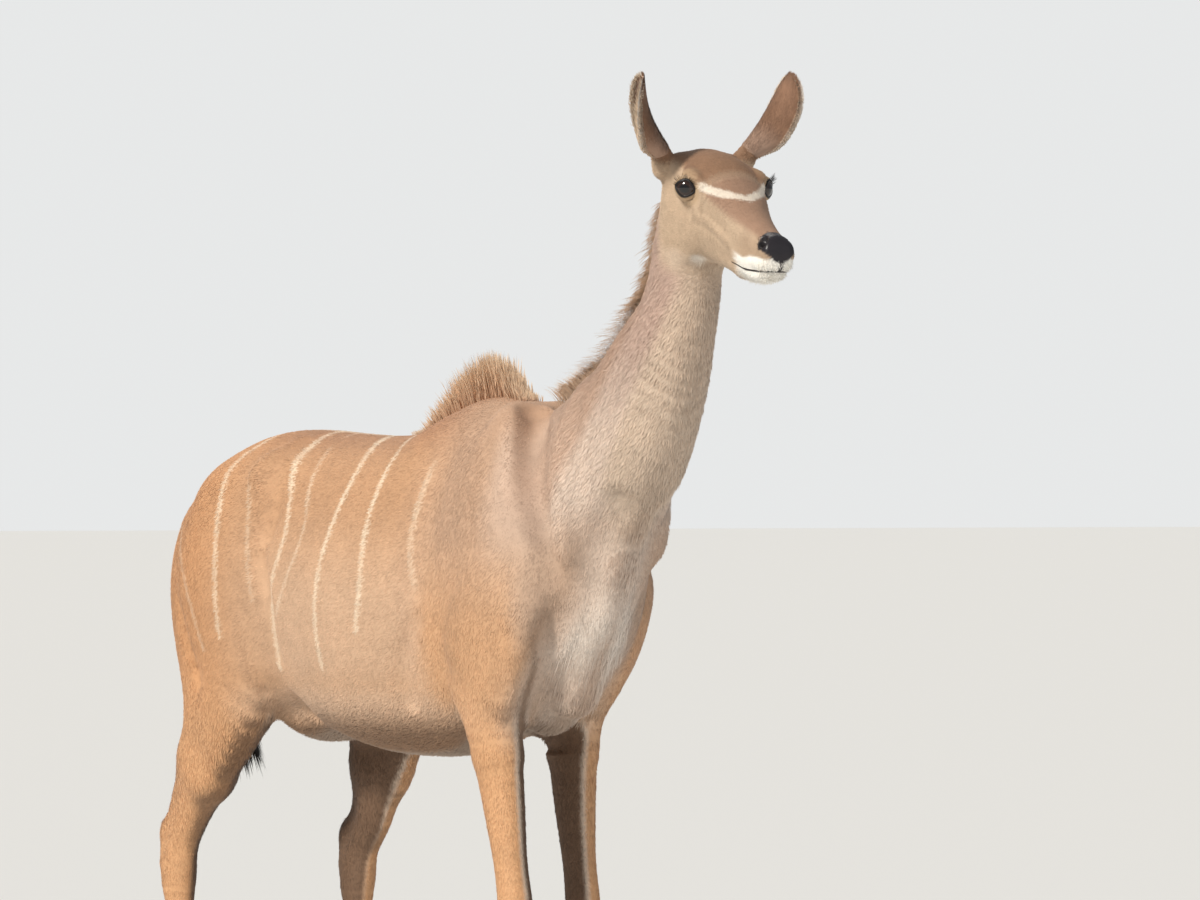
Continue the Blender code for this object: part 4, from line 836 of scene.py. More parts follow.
def coat_colour(points, normals):
    """The coat's colour at points on the body, in the design's own place."""
    x, y, z = points[:, 0], points[:, 1], points[:, 2]
    away = np.abs(y)
    mirrored = np.stack([x, away, z], axis=1)
    flat = mirrored * STRIPE_VIEW
    outward = normals[:, 1] * np.sign(y)
    colour = np.tile(paint(FLANK), (len(points), 1))
    colour = mix(colour, SIDE, ramp(z, 1.12, 0.92) * ramp(x, -0.42, -0.10) * 0.9)
    colour = mix(colour, BACK, ramp(z, 1.16, 1.235) * 0.75)
    colour = mix(colour, RUMP, ramp(x, -0.28, -0.46) * ramp(z, 0.55, 0.75) * 0.85)
    colour = mix(colour, BELLY, ramp(z, 0.80, 0.72) * ramp(x, -0.40, -0.25) * 0.9)
    colour = mix(colour, SHOULDER, ramp(x, 0.20, 0.36) * ramp(z, 0.74, 0.92) * 0.85)
    colour = mix(colour, CHEST, ramp(x, 0.48, 0.58) * ramp(z, 1.10, 0.98) * 0.7)
    colour = mix(colour, LEG, ramp(x, 0.612, 0.560) * ramp(x, 0.26, 0.33) * ramp(z, 1.08, 0.86)
                 * ramp(away, 0.095, 0.125) * 0.75)
    keel = line_distance(mirrored, KEEL)
    colour = mix(colour, NECK_LOW, ramp(keel, 0.085, 0.035) * 0.85)
    colour = mix(colour, WHITE, ramp(keel, 0.055, 0.020) * ramp(z, 1.00, 0.86) * 0.45)
    front = x - np.interp(z, (0.95, 1.15, 1.30, 1.45, 1.60), (0.62, 0.71, 0.80, 0.89, 0.93))
    neck = ramp(x, 0.46, 0.58) * ramp(z, 0.98, 1.12)
    colour = mix(colour, NECK_LOW, neck)
    colour = mix(colour, NECK_HIGH, neck * ramp(z, 1.20, 1.40))
    colour = mix(colour, NAPE, neck * ramp(front, -0.015, -0.065) * 0.8)
    colour = mix(colour, THROAT, neck * ramp(front, 0.035, 0.075) * 0.85)
    # Legs.
    leg = ramp(z, 0.84, 0.66)
    colour = mix(colour, LEG, leg * ramp(outward, -0.35, 0.1) * ramp(away, 0.030, 0.060))
    colour = mix(colour, FOOT, ramp(z, 0.36, 0.16) * 0.8)
    # Inner sides of the legs: partly their own darker coat, partly painted shade. Undersides facing down, low on the
    # body: painted shade.
    colour = mix(colour, INNER_COAT_AND_SHADE, ramp(z, 0.92, 0.78) * ramp(outward, -0.10, -0.55) * ramp(z, 0.16, 0.36))
    colour = mix(colour, INNER_COAT_AND_SHADE, ramp(z, 0.80, 0.70) * ramp(normals[:, 2], -0.4, -0.8) * 0.7)
    colour = mix(colour, WHITE, ramp(np.abs(z - 0.112), 0.030, 0.018) * ramp(normals[:, 0], 0.1, -0.5) * 0.55)
    colour = mix(colour, DARK, ramp(z, 0.066, 0.050) * 0.75)
    # Middle line of the back, stripes, and the tail.
    spine = ramp(away, 0.011, 0.004) * ramp(z, 1.19, 1.21) * ramp(x, 0.12, 0.02) * ramp(x, -0.56, -0.50)
    colour = mix(colour, STRIPE, spine * 0.5)
    wave = 0.0012 * mottle(points, 0.045) + 0.0008 * mottle(points, 0.016, 1.0)
    for width, strength, line in STRIPES:
        line = np.array(line)
        line[1:-1] = (line[:-2] + 2 * line[1:-1] + line[2:]) / 4
        far = line_distance(flat, smooth_rows(line, 3) * STRIPE_VIEW) + wave
        uneven = 0.80 + 0.20 * mottle(points, 0.11, 4.0 * width)
        colour = mix(colour, STRIPE, ramp(far, width + 0.0030, width - 0.0035) * strength * uneven * 0.90)
    tail = ramp(x, -0.635, -0.665) * ramp(away, 0.045, 0.035) * ramp(z, 0.66, 0.70)
    colour = mix(colour, TAIL_BACK, tail * ramp(normals[:, 0], 0.3, -0.1))
    colour = mix(colour, WHITE, tail * ramp(normals[:, 0], 0.2, 0.5) * 0.9)
    colour = mix(colour, WHITE, ramp(x, -0.57, -0.61) * ramp(normals[:, 0], -0.3, -0.7)
                 * ramp(away, 0.075, 0.045) * ramp(z, 1.09, 1.04) * (1 - tail) * 0.7)
    # Painted shade: a darker tone laid along the hollow and the furrow before the blade. Over the groove beside the
    # brisket, the chest's darker tone.
    colour = mix(colour, PAINTED_HOLLOW_SHADE, ramp(line_distance(mirrored, BLADE_HOLLOW), 0.026, 0.004) * 0.62)
    colour = mix(colour, PAINTED_HOLLOW_SHADE, ramp(line_distance(mirrored, BLADE_FURROW), 0.034, 0.004) * 0.30)
    colour = mix(colour, CHEST, spot(mirrored, (0.560, 0.060, 0.760), 0.075, 0.05) * 0.6)
    shade = 0.055 * mottle(points, 0.21) + 0.035 * mottle(points, 0.073, 2.0)
    colour = colour * (1 + shade)[:, None]
    # Head.
    near = x > 0.86
    if near.any():
        h = in_head(points[near])
        colour[near] = head_colour(h, colour[near], mottle(points[near], 0.05, 0.5))
    return np.clip(colour, 0, 1)


def head_colour(h, base, wave):
    """The face's marks, by their place in the head's frame."""
    x, z = h[:, 0], h[:, 2]
    away = np.abs(h[:, 1])
    mirrored = np.stack([x, away, z], axis=1)
    head = ramp(x + 0.5 * (z + 0.06), -0.125, -0.085) * ramp(z, -0.165, -0.13)
    colour = mix(base, CHEEK_TONE, head)
    top = z - np.interp(x, (-0.1, 0.0, 0.05, 0.10, 0.15, 0.20), (0.020, 0.012, -0.012, -0.030, -0.040, -0.048))
    colour = mix(colour, BRIDGE, head * ramp(top, -0.006, 0.008) * ramp(x, 0.02, 0.05) * 0.9)
    colour = mix(colour, BROW, head * ramp(top, -0.004, 0.010) * ramp(x, 0.045, 0.020) * 0.9)
    colour = mix(colour, MUZZLE, ramp(x, 0.125, 0.165) * ramp(top, 0.004, -0.010) * 0.75)
    chevron = line_distance(mirrored, ((0.030, 0.058, 0.004), (0.047, 0.046, 0.002), (0.064, 0.035, 0.001),
                                       (0.080, 0.018, -0.001), (0.090, 0.000, -0.003)))
    broad = 0.0062 + 0.0012 * wave
    colour = mix(colour, CHEVRON, ramp(chevron, broad + 0.0030, broad - 0.0015) * 0.92)
    # Pale ring round the eye, and the dark line in its front corner.
    eye = (EYE_PLACE[0], EYE_PLACE[1], EYE_PLACE[2])
    colour = mix(colour, EYE_RING, spot(mirrored, eye, 0.0310, 0.0060) * 0.75)
    tear = line_distance(mirrored, ((0.010, 0.080, -0.022), (0.024, 0.070, -0.027)))
    colour = mix(colour, LID, ramp(tear, 0.0042, 0.0018) * 0.85)
    # White marks low on the cheek and behind the jaw.
    colour = mix(colour, WHITE, spot(mirrored, (0.006, 0.036, -0.126), 0.0125, 0.0060) * 0.85)
    colour = mix(colour, THROAT, spot(mirrored, (-0.030, 0.056, -0.132), 0.0180, 0.0100) * 0.70)
    # Lips and chin.
    lip = line_distance(mirrored, ((0.120, 0.032, -0.094), (0.165, 0.034, -0.090), (0.205, 0.030, -0.084),
                                   (0.232, 0.012, -0.080), (0.236, 0.0, -0.080)))
    reach = np.interp(x, (0.112, 0.150, 0.182, 0.205), (0.0005, 0.0055, 0.0115, 0.0125))
    colour = mix(colour, WHITE, ramp(lip + 0.001 * wave, reach + 0.0025, reach - 0.0025) * ramp(x, 0.108, 0.122))
    chin = ramp(z + 0.10 * (x - 0.20), -0.084, -0.090) * ramp(x, 0.115, 0.150)
    colour = mix(colour, WHITE, chin)
    colour = mix(colour, THROAT, head * ramp(z, -0.105, -0.130) * ramp(x, 0.12, 0.09) * 0.55)
    # Bare nose, and the dark line from it to the mouth.
    colour = mix(colour, NOSE, nose_share(h))
    colour = mix(colour, NOSE, ramp(away, 0.0032, 0.0016) * ramp(x, 0.222, 0.230) * ramp(z, -0.092, -0.086))
    # Painted shade: the nostril's pit darkened with the lid's near-black.
    return mix(colour, LID, spot(mirrored, NOSTRIL_MIDDLE, 0.0125, 0.0030) * 0.85)


def nose_share(h):
    """1 on the bare nose, 0 on the coat."""
    away = np.abs(h[:, 1])
    back = np.interp(h[:, 2], (-0.076, -0.066, -0.054, -0.040, -0.032), (0.238, 0.212, 0.198, 0.192, 0.188))
    low = ramp(h[:, 2] - 0.70 * away, -0.0810, -0.0785)
    return ramp(h[:, 0] + 0.10 * away, back - 0.001, back + 0.002) * low


def grid_lines(stops, steps):
    """Grid lines whose spacing changes smoothly along the axis."""
    lines = [stops[0]]
    while lines[-1] < stops[-1]:
        lines.append(lines[-1] + float(np.interp(lines[-1], stops, steps)))
    return np.array(lines)


def in_chunks(function, points):
    out = [function(points[i : i + CHUNK]) for i in range(0, len(points), CHUNK)]
    return np.concatenate(out)


def coat_depth(points):
    depth = np.full(len(points), DEPTH_BODY)
    head = ramp(points[:, 0], 0.84, 0.95) * ramp(points[:, 2], 1.36, 1.46)
    depth += (DEPTH_HEAD - DEPTH_BODY) * head
    depth += (DEPTH_FOOT - DEPTH_BODY) * ramp(points[:, 2], 0.66, 0.42)
    return depth


def smooth_max(a, b, blend):
    return -smooth_min(-a, -b, blend)


def mouth_line():
    """The line between the lips from corner to corner, in the head's frame."""
    corner, front = np.array(MOUTH_CORNER), np.array(MOUTH_FRONT)
    out = []
    for i in range(MOUTH_STEPS + 1):
        a = math.pi * (i / MOUTH_STEPS - 0.5)
        share = max(0.0, math.cos(a)) ** 0.6
        place = corner + (front - corner) * share
        place[1] = math.sin(a) * corner[1]
        place[2] -= MOUTH_SAG * math.sin(math.pi * share)
        out.append(place)
    return np.array(out)


def make_skin_field():
    """The field of the skin: the flesh less the coat's depth, with the hollows of the face."""
    pieces = pieces_of_flesh()
    forms = pieces_of_head()
    tail = smooth_rows(TAIL, 4)
    side = np.array((0.0, 1.0, 0.0))
    mouth = mouth_line()
    nostrils = []
    for name, sign in SIDES.items():
        way = Vector((0.22, sign * 0.95, 0.24)).normalized()
        start = Vector((0.200, 0.0, -0.052))
        place = surface_between(lambda p: whole(p, pieces, forms), head_matrix() @ start,
                                head_matrix() @ (start + way * 0.05))
        turn = Matrix.Rotation(-sign * NOSTRIL_TURN, 3, "Z") @ Matrix.Rotation(NOSTRIL_TIP, 3, "Y")
        nostrils.append((head_matrix().inverted() @ place, turn))

    def solid(points):
        field = whole(points, pieces, forms)
        near = (points[:, 0] < -0.55) & (np.abs(points[:, 1]) < 0.08)
        if near.any():
            field[near] = smooth_min(field[near], tube(points[near], tail, side), 0.012)
        return field

    def field(points):
        value = solid(points) + coat_depth(points)
        mirrored = points * np.array((1, 1, 1.0))
        mirrored[:, 1] = np.abs(mirrored[:, 1])
        high = points[:, 2] > 0.68
        rise = np.zeros(high.sum())
        for height, width, line in RELIEF:
            share = np.clip(1 - (line_distance(mirrored[high], line) / width) ** 2, 0, 1)
            rise += height * share * share
        value[high] -= rise
        near = points[:, 0] > 0.95
        if near.any():
            h = in_head(points[near])
            part = value[near]
            folded = np.stack([h[:, 0], np.abs(h[:, 1]), h[:, 2]], axis=1)
            for height, width, line in FACE_RELIEF:
                share = np.clip(1 - (line_distance(folded, line) / width) ** 2, 0, 1)
                part = part - height * share * share
            for sign in (-1, 1):
                eye = (EYE_PLACE[0], sign * EYE_PLACE[1], EYE_PLACE[2])
                part = smooth_max(part, -ball(h, eye, (EYE_RADIUS + 0.0004,) * 3), 0.002)
            for place, turn in nostrils:
                part = smooth_max(part, -ball(h, place, NOSTRIL_PIT, turn), 0.0025)
            groove = 0.0026 - line_distance(h, mouth)
            part = smooth_max(part, groove, 0.004)
            middle = np.array(((0.240, 0.0, -0.045), (0.2465, 0.0, -0.058), (0.2450, 0.0, -0.079)))
            part = smooth_max(part, 0.0036 - line_distance(h, middle), 0.003)
            value[near] = part
        return smooth_max(value, HOOF_TOP + 0.0005 - points[:, 2], 0.004)

    return solid, field, nostrils


def net_on_lines(function, lines):
    """The zero surface of a field on grid lines of uneven spacing, found roughly and then finely near it."""
    shape = tuple(len(line) for line in lines)
    rough = [np.append(line[::SKIP], line[-1]) if (len(line) - 1) % SKIP else line[::SKIP] for line in lines]
    grid = np.stack(np.meshgrid(*rough, indexing="ij"), axis=-1).reshape(-1, 3)
    values = in_chunks(function, grid).reshape([len(line) for line in rough]).astype(np.float32)
    for axis in range(3):
        spot_of = np.interp(lines[axis], rough[axis], np.arange(len(rough[axis])))
        first = np.minimum(spot_of.astype(int), len(rough[axis]) - 2)
        share = (spot_of - first).astype(np.float32)
        form = [1, 1, 1]
        form[axis] = -1
        share = share.reshape(form)
        values = np.take(values, first, axis) * (1 - share) + np.take(values, first + 1, axis) * share
    close = np.argwhere(np.abs(values) < BAND)
    points = np.stack([lines[axis][close[:, axis]] for axis in range(3)], axis=1)
    values[tuple(close.T)] = in_chunks(function, points)
    spots, faces = surface_net(values.astype(float).reshape(-1), np.zeros(3), 1.0, shape)
    points = np.stack([np.interp(spots[:, axis], np.arange(shape[axis]), lines[axis]) for axis in range(3)], axis=1)
    points, slope = drawn_tight(function, points, 0.0035, 2)
    return points, faces, slope


def drawn_tight(function, points, most, times):
    """Points moved onto the zero surface, and the field's slope there."""
    nudge = 0.0009
    for _ in range(times):
        value = in_chunks(function, points)
        slope = np.stack(
            [(in_chunks(function, points + way) - value) / nudge for way in np.eye(3) * nudge], axis=1
        )
        size = np.maximum((slope**2).sum(axis=1), LEAST_SLOPE)
        move = -value[:, None] * slope / size[:, None]
        points = points + np.clip(move, -most, most) * PULL
    return points, slope / np.maximum(np.linalg.norm(slope, axis=1), 1e-6)[:, None]


def largest_part(points, faces):
    """The faces of the largest joined piece of a net."""
    label = np.arange(len(points))
    while True:
        low = label[faces].min(axis=1)
        fresh = label.copy()
        for column in range(faces.shape[1]):
            np.minimum.at(fresh, faces[:, column], low)
        fresh = fresh[fresh]
        if (fresh == label).all():
            break
        label = fresh
    names, counts = np.unique(label[faces[:, 0]], return_counts=True)
    keep = label[faces[:, 0]] == names[np.argmax(counts)]
    faces = faces[keep]
    used, index = np.unique(faces, return_inverse=True)
    return used, index.reshape(faces.shape)


def neighbour_mean(values, pairs, count):
    """The mean of each point's neighbours along the net's edges."""
    ends = np.concatenate([pairs[:, 0], pairs[:, 1]])
    other = np.concatenate([pairs[:, 1], pairs[:, 0]])
    number = np.maximum(np.bincount(ends, minlength=count), 1)
    return np.stack([np.bincount(ends, values[other, axis], count) / number for axis in range(3)], axis=1)


def eased(points, normals, faces):
    """The net with its seams melted: strongly before the shoulder, a little over the body, not at all on the head."""
    count = len(points)
    pairs = np.concatenate([faces[:, [i, (i + 1) % faces.shape[1]]] for i in range(faces.shape[1])])
    pairs = np.unique(np.sort(pairs, axis=1), axis=0)
    mirrored = np.stack([points[:, 0], np.abs(points[:, 1]), points[:, 2]], axis=1)
    seam = np.maximum(ramp(line_distance(mirrored, SEAM), 0.095, 0.040), ramp(line_distance(mirrored, KEEL_TOP), 0.075, 0.030))
    edge = ramp(line_distance(mirrored, BLADE_EDGE), 0.060, 0.025)
    body = ramp(points[:, 0], 0.86, 0.80) * ramp(points[:, 2], 0.70, 0.80)
    for turn in range(60):
        share = np.maximum(seam, np.maximum(edge * (turn < 5), body * (turn < 3)))[:, None] * 0.5
        points = points + (neighbour_mean(points, pairs, count) - points) * share
        smooth = np.maximum(share, 0.5 * np.maximum(body * (turn < 6), edge * (turn < 16))[:, None])
        normals = normals + (neighbour_mean(normals, pairs, count) - normals) * smooth
    return points, unit(normals)


def mesh_object(name, points, faces, colours, material_of, bare=None):
    """An object from arrays: points, faces of one size, a colour for each point."""
    mesh = bpy.data.meshes.new(name)
    mesh.vertices.add(len(points))
    mesh.vertices.foreach_set("co", np.ascontiguousarray(points, dtype=np.float32).reshape(-1))
    faces = np.ascontiguousarray(faces, dtype=np.int32)
    size = faces.shape[1]
    mesh.loops.add(faces.size)
    mesh.loops.foreach_set("vertex_index", faces.reshape(-1))
    mesh.polygons.add(len(faces))
    mesh.polygons.foreach_set("loop_start", np.arange(0, faces.size, size, dtype=np.int32))
    mesh.polygons.foreach_set("use_smooth", np.ones(len(faces), dtype=bool))
    mesh.update(calc_edges=True)
    mesh.validate()
    if colours is not None:
        layer = mesh.color_attributes.new(name="coat", type="FLOAT_COLOR", domain="POINT")
        full = np.ones((len(points), 4), dtype=np.float32)
        full[:, :3] = colours
        layer.data.foreach_set("color", full.reshape(-1))
    if bare is not None:
        layer = mesh.attributes.new(name="bare", type="FLOAT", domain="POINT")
        layer.data.foreach_set("value", np.ascontiguousarray(bare, dtype=np.float32))
    mesh.materials.append(material_of)
    return new_object(name, mesh)


# Charts of the skin's unwrap: the corner and size of each one's place in the square.
CHARTS = {
    "trunk": (0.00, 0.00, 0.62, 0.50),
    "neck": (0.64, 0.00, 0.34, 0.36),
    "head": (0.64, 0.38, 0.34, 0.34),
    "foreleg_right": (0.00, 0.52, 0.14, 0.46),
    "foreleg_left": (0.16, 0.52, 0.14, 0.46),
    "hindleg_right": (0.32, 0.52, 0.14, 0.46),
    "hindleg_left": (0.48, 0.52, 0.14, 0.46),
    "tail": (0.66, 0.74, 0.10, 0.24),
    "ear_right": (0.78, 0.74, 0.10, 0.24),
    "ear_left": (0.89, 0.74, 0.10, 0.24),
}
CHART_NAMES = tuple(CHARTS)


def chart_of(points):
    """Which chart each point belongs to, by its place on the body."""
    x, y, z = points[:, 0], points[:, 1], points[:, 2]
    out = np.zeros(len(points), dtype=int)
    neck_side = (points - np.array(NECK_CUT[0])) @ np.array(NECK_CUT[1])
    out[(neck_side > 0)] = CHART_NAMES.index("neck")
    h = in_head(points)
    head_side = (h - np.array(HEAD_CUT[0])) @ np.array(HEAD_CUT[1])
    out[(head_side > 0) & (x > 0.86) & (z > 1.40)] = CHART_NAMES.index("head")
    fore = (z < FORE_CUT) & (x > 0.1)
    hind = (z < HIND_CUT) & (x <= 0.1)
    out[fore & (y < 0)] = CHART_NAMES.index("foreleg_right")
    out[fore & (y >= 0)] = CHART_NAMES.index("foreleg_left")
    out[hind & (y < 0)] = CHART_NAMES.index("hindleg_right")
    out[hind & (y >= 0)] = CHART_NAMES.index("hindleg_left")
    out[(x < -0.635) & (np.abs(y) < 0.035) & (z > 0.60)] = CHART_NAMES.index("tail")
    return out


def chart_place(points, chart):
    """Each point's turn round its chart's middle line, and its share along it."""
    x, y, z = points[:, 0], points[:, 1], points[:, 2]
    turn = np.zeros(len(points))
    along = np.zeros(len(points))
    for index, name in enumerate(CHART_NAMES):
        mine = chart == index
        if not mine.any():
            continue
        px, py, pz = x[mine], y[mine], z[mine]
        if name == "trunk":
            turn[mine] = np.arctan2(py, 0.96 - pz)
            along[mine] = (px + 0.70) / 1.40
        elif name == "neck":
            lift = (pz - 1.0) * 0.62 + (px - 0.5) * 0.78
            middle = np.interp(lift, (0.0, 0.25, 0.45, 0.60), (0.56, 0.72, 0.86, 0.91))
            turn[mine] = np.arctan2(py, px - middle)
            along[mine] = (lift + 0.15) / 0.85
        elif name == "head":
            h = in_head(points[mine])
            turn[mine] = np.arctan2(h[:, 1], h[:, 2] + 0.055)
            along[mine] = (h[:, 0] + 0.15) / 0.42
        elif name == "tail":
            turn[mine] = np.arctan2(py, -(px + 0.672))
            along[mine] = (pz - 0.60) / 0.55
        elif name.startswith("ear"):
            along[mine] = (pz - 1.60) / 0.26
            turn[mine] = (py - np.sign(py) * 0.10) * 20
        else:
            leg, side = name.split("_")
            rows = leg_rows(FORELEG, FORE_X[side], SIDES[side]) if leg == "foreleg" else hind_rows(side)
            rows = rows[np.argsort(rows[:, 2])]
            middle_x = np.interp(pz, rows[:, 2], rows[:, 0])
            middle_y = np.interp(pz, rows[:, 2], rows[:, 1])
            turn[mine] = np.arctan2(py - middle_y, px - middle_x)
            along[mine] = pz / 0.70
    return turn, along


def chart_uv(turn, along, chart):
    corner = np.array([CHARTS[name] for name in CHART_NAMES])[chart]
    across = np.clip(turn / (2 * math.pi) + 0.5, -0.02, 1.02)
    u = corner[..., 0] + across * corner[..., 2]
    v = corner[..., 1] + np.clip(along, 0, 1) * corner[..., 3]
    return np.stack([u, v], axis=-1)


def unwrap(thing, points, faces):
    """OFBake for a skin: each face lies in one chart, with its corners kept together at the chart's seam."""
    middle = points[faces].mean(axis=1)
    chart = chart_of(middle)
    centre_turn, _ = chart_place(middle, chart)
    size = faces.shape[1]
    corners = points[faces].reshape(-1, 3)
    each = np.repeat(chart, size)
    turn, along = chart_place(corners, each)
    base = np.repeat(centre_turn, size)
    turn = base + (turn - base + math.pi) % (2 * math.pi) - math.pi
    layer = thing.data.uv_layers.new(name="OFBake")
    layer.data.foreach_set("uv", chart_uv(turn, along, each).astype(np.float32).reshape(-1))


def scatter(points, faces, normals, weight, count, draw):
    """Random places on a net of squares: point, normal."""
    a, b, c, d = (points[faces[:, i]] for i in range(4))
    area = np.linalg.norm(np.cross(c - a, d - b), axis=1) / 2
    middle = (a + b + c + d) / 4
    chance = area * weight(middle)
    chance /= chance.sum()
    pick = draw.choice(len(faces), size=count, p=chance)
    s, t = draw.random(count)[:, None], draw.random(count)[:, None]
    weights = ((1 - s) * (1 - t), s * (1 - t), s * t, (1 - s) * t)
    place = sum(w * points[faces[pick, i]] for i, w in enumerate(weights))
    normal = sum(w * normals[faces[pick, i]] for i, w in enumerate(weights))
    return place, normal / np.linalg.norm(normal, axis=1)[:, None]


def unit(vectors):
    return vectors / np.maximum(np.linalg.norm(vectors, axis=1), 1e-9)[:, None]


BLADE_SHARES = (0.0, 0.5, 1.0)


def blades(name, roots, normals, lies, length, width, lift, colours, tips, material_of, shares=BLADE_SHARES,
           profile=(0.75, 1.0), sag=0.6, sink=0.0008, curl=None):
    """Flat tapered tufts: each leaves its root along lie, rises by lift and settles, and ends in a point."""
    count = len(roots)
    lies = unit(lies - normals * (lies * normals).sum(axis=1)[:, None])
    across = np.cross(normals, lies)
    rings = []
    for i, t in enumerate(shares):
        height = lift * (t * (1 + sag) - sag * t * t) * length
        place = roots + lies * (t * length)[:, None] + normals * (height - sink * (1 - t))[:, None]
        if curl is not None:
            place = place + curl * (t * t * length)[:, None]
        if i < len(shares) - 1:
            half = across * (width * 0.5 * profile[i])[:, None]
            rings += [place - half, place + half]
        else:
            rings.append(place)
    points = np.stack(rings, axis=1)
    per = points.shape[1]
    pattern = []
    for i in range(len(shares) - 2):
        a = 2 * i
        pattern += [(a, a + 1, a + 3), (a, a + 3, a + 2)]
    pattern.append((per - 3, per - 2, per - 1))
    faces = (np.arange(count) * per)[:, None, None] + np.array(pattern)[None]
    share = np.array([s for s in shares[:-1] for _ in (0, 1)] + [1.0])
    tone = colours[:, None, :] * (1 - share[None, :, None]) + tips[:, None, :] * share[None, :, None]
    thing = mesh_object(name, points.reshape(-1, 3), faces.reshape(-1, 3), tone.reshape(-1, 3), material_of)
    chart = chart_of(roots)
    turn, along = chart_place(roots, chart)
    centre = chart_uv(turn, along, chart)
    grid = np.array([((j % 2) - 0.5, s - 0.5) for j, s in zip(range(per - 1), share[:-1])] + [(0.0, 0.5)])
    patch = centre[:, None, :] + grid[None] * 0.003
    layer = thing.data.uv_layers.new(name="OFBake")
    layer.data.foreach_set("uv", patch[:, np.array(pattern)].astype(np.float32).reshape(-1))
    return thing


def lie_of(points, normals):
    """The way the hair lies: back along the body, down the legs and neck, back over the face."""
    x, y, z = points[:, 0], points[:, 1], points[:, 2]
    away = np.abs(y)
    lie = np.tile((-1.0, 0.0, -0.42), (len(points), 1))
    down = np.tile((0.0, 0.0, -1.0), (len(points), 1))

    def blend(a, b, share):
        return a * (1 - share[:, None]) + b * share[:, None]

    rear = np.tile((-0.45, 0.0, -1.0), (len(points), 1))
    lie = blend(lie, rear, ramp(x, -0.30, -0.48) * ramp(z, 1.20, 1.10))
    shoulder = np.tile((-0.42, 0.0, -0.90), (len(points), 1))
    lie = blend(lie, shoulder, ramp(x, 0.22, 0.36) * ramp(z, 1.26, 1.18))
    neck = np.tile((-0.62, 0.0, -0.85), (len(points), 1))
    neck[:, 1] = 0.25 * np.sign(y) * ramp(away, 0.01, 0.05)
    lie = blend(lie, neck, ramp(x, 0.44, 0.56) * ramp(z, 0.92, 1.06))
    lie = blend(lie, down, ramp(z, 0.80, 0.64) * ramp(normals[:, 2], -0.75, -0.45))
    lie = blend(lie, np.tile((-1.0, 0.0, 0.0), (len(points), 1)), ramp(normals[:, 2], -0.55, -0.85) * ramp(z, 0.5, 0.6))
    near = x > 0.84
    if near.any():
        h = in_head(points[near])
        share = ramp(h[:, 0] + 0.4 * (h[:, 2] + 0.06), -0.135, -0.085) * ramp(h[:, 2], -0.19, -0.14)
        face = np.stack([-np.ones(len(h)), 0.15 * np.sign(h[:, 1]) * np.ones(len(h)), -0.25 * np.ones(len(h))], axis=1)
        turn = np.array(head_matrix().to_3x3())
        lie[near] = blend(lie[near], face @ turn.T, share)
    return unit(lie)


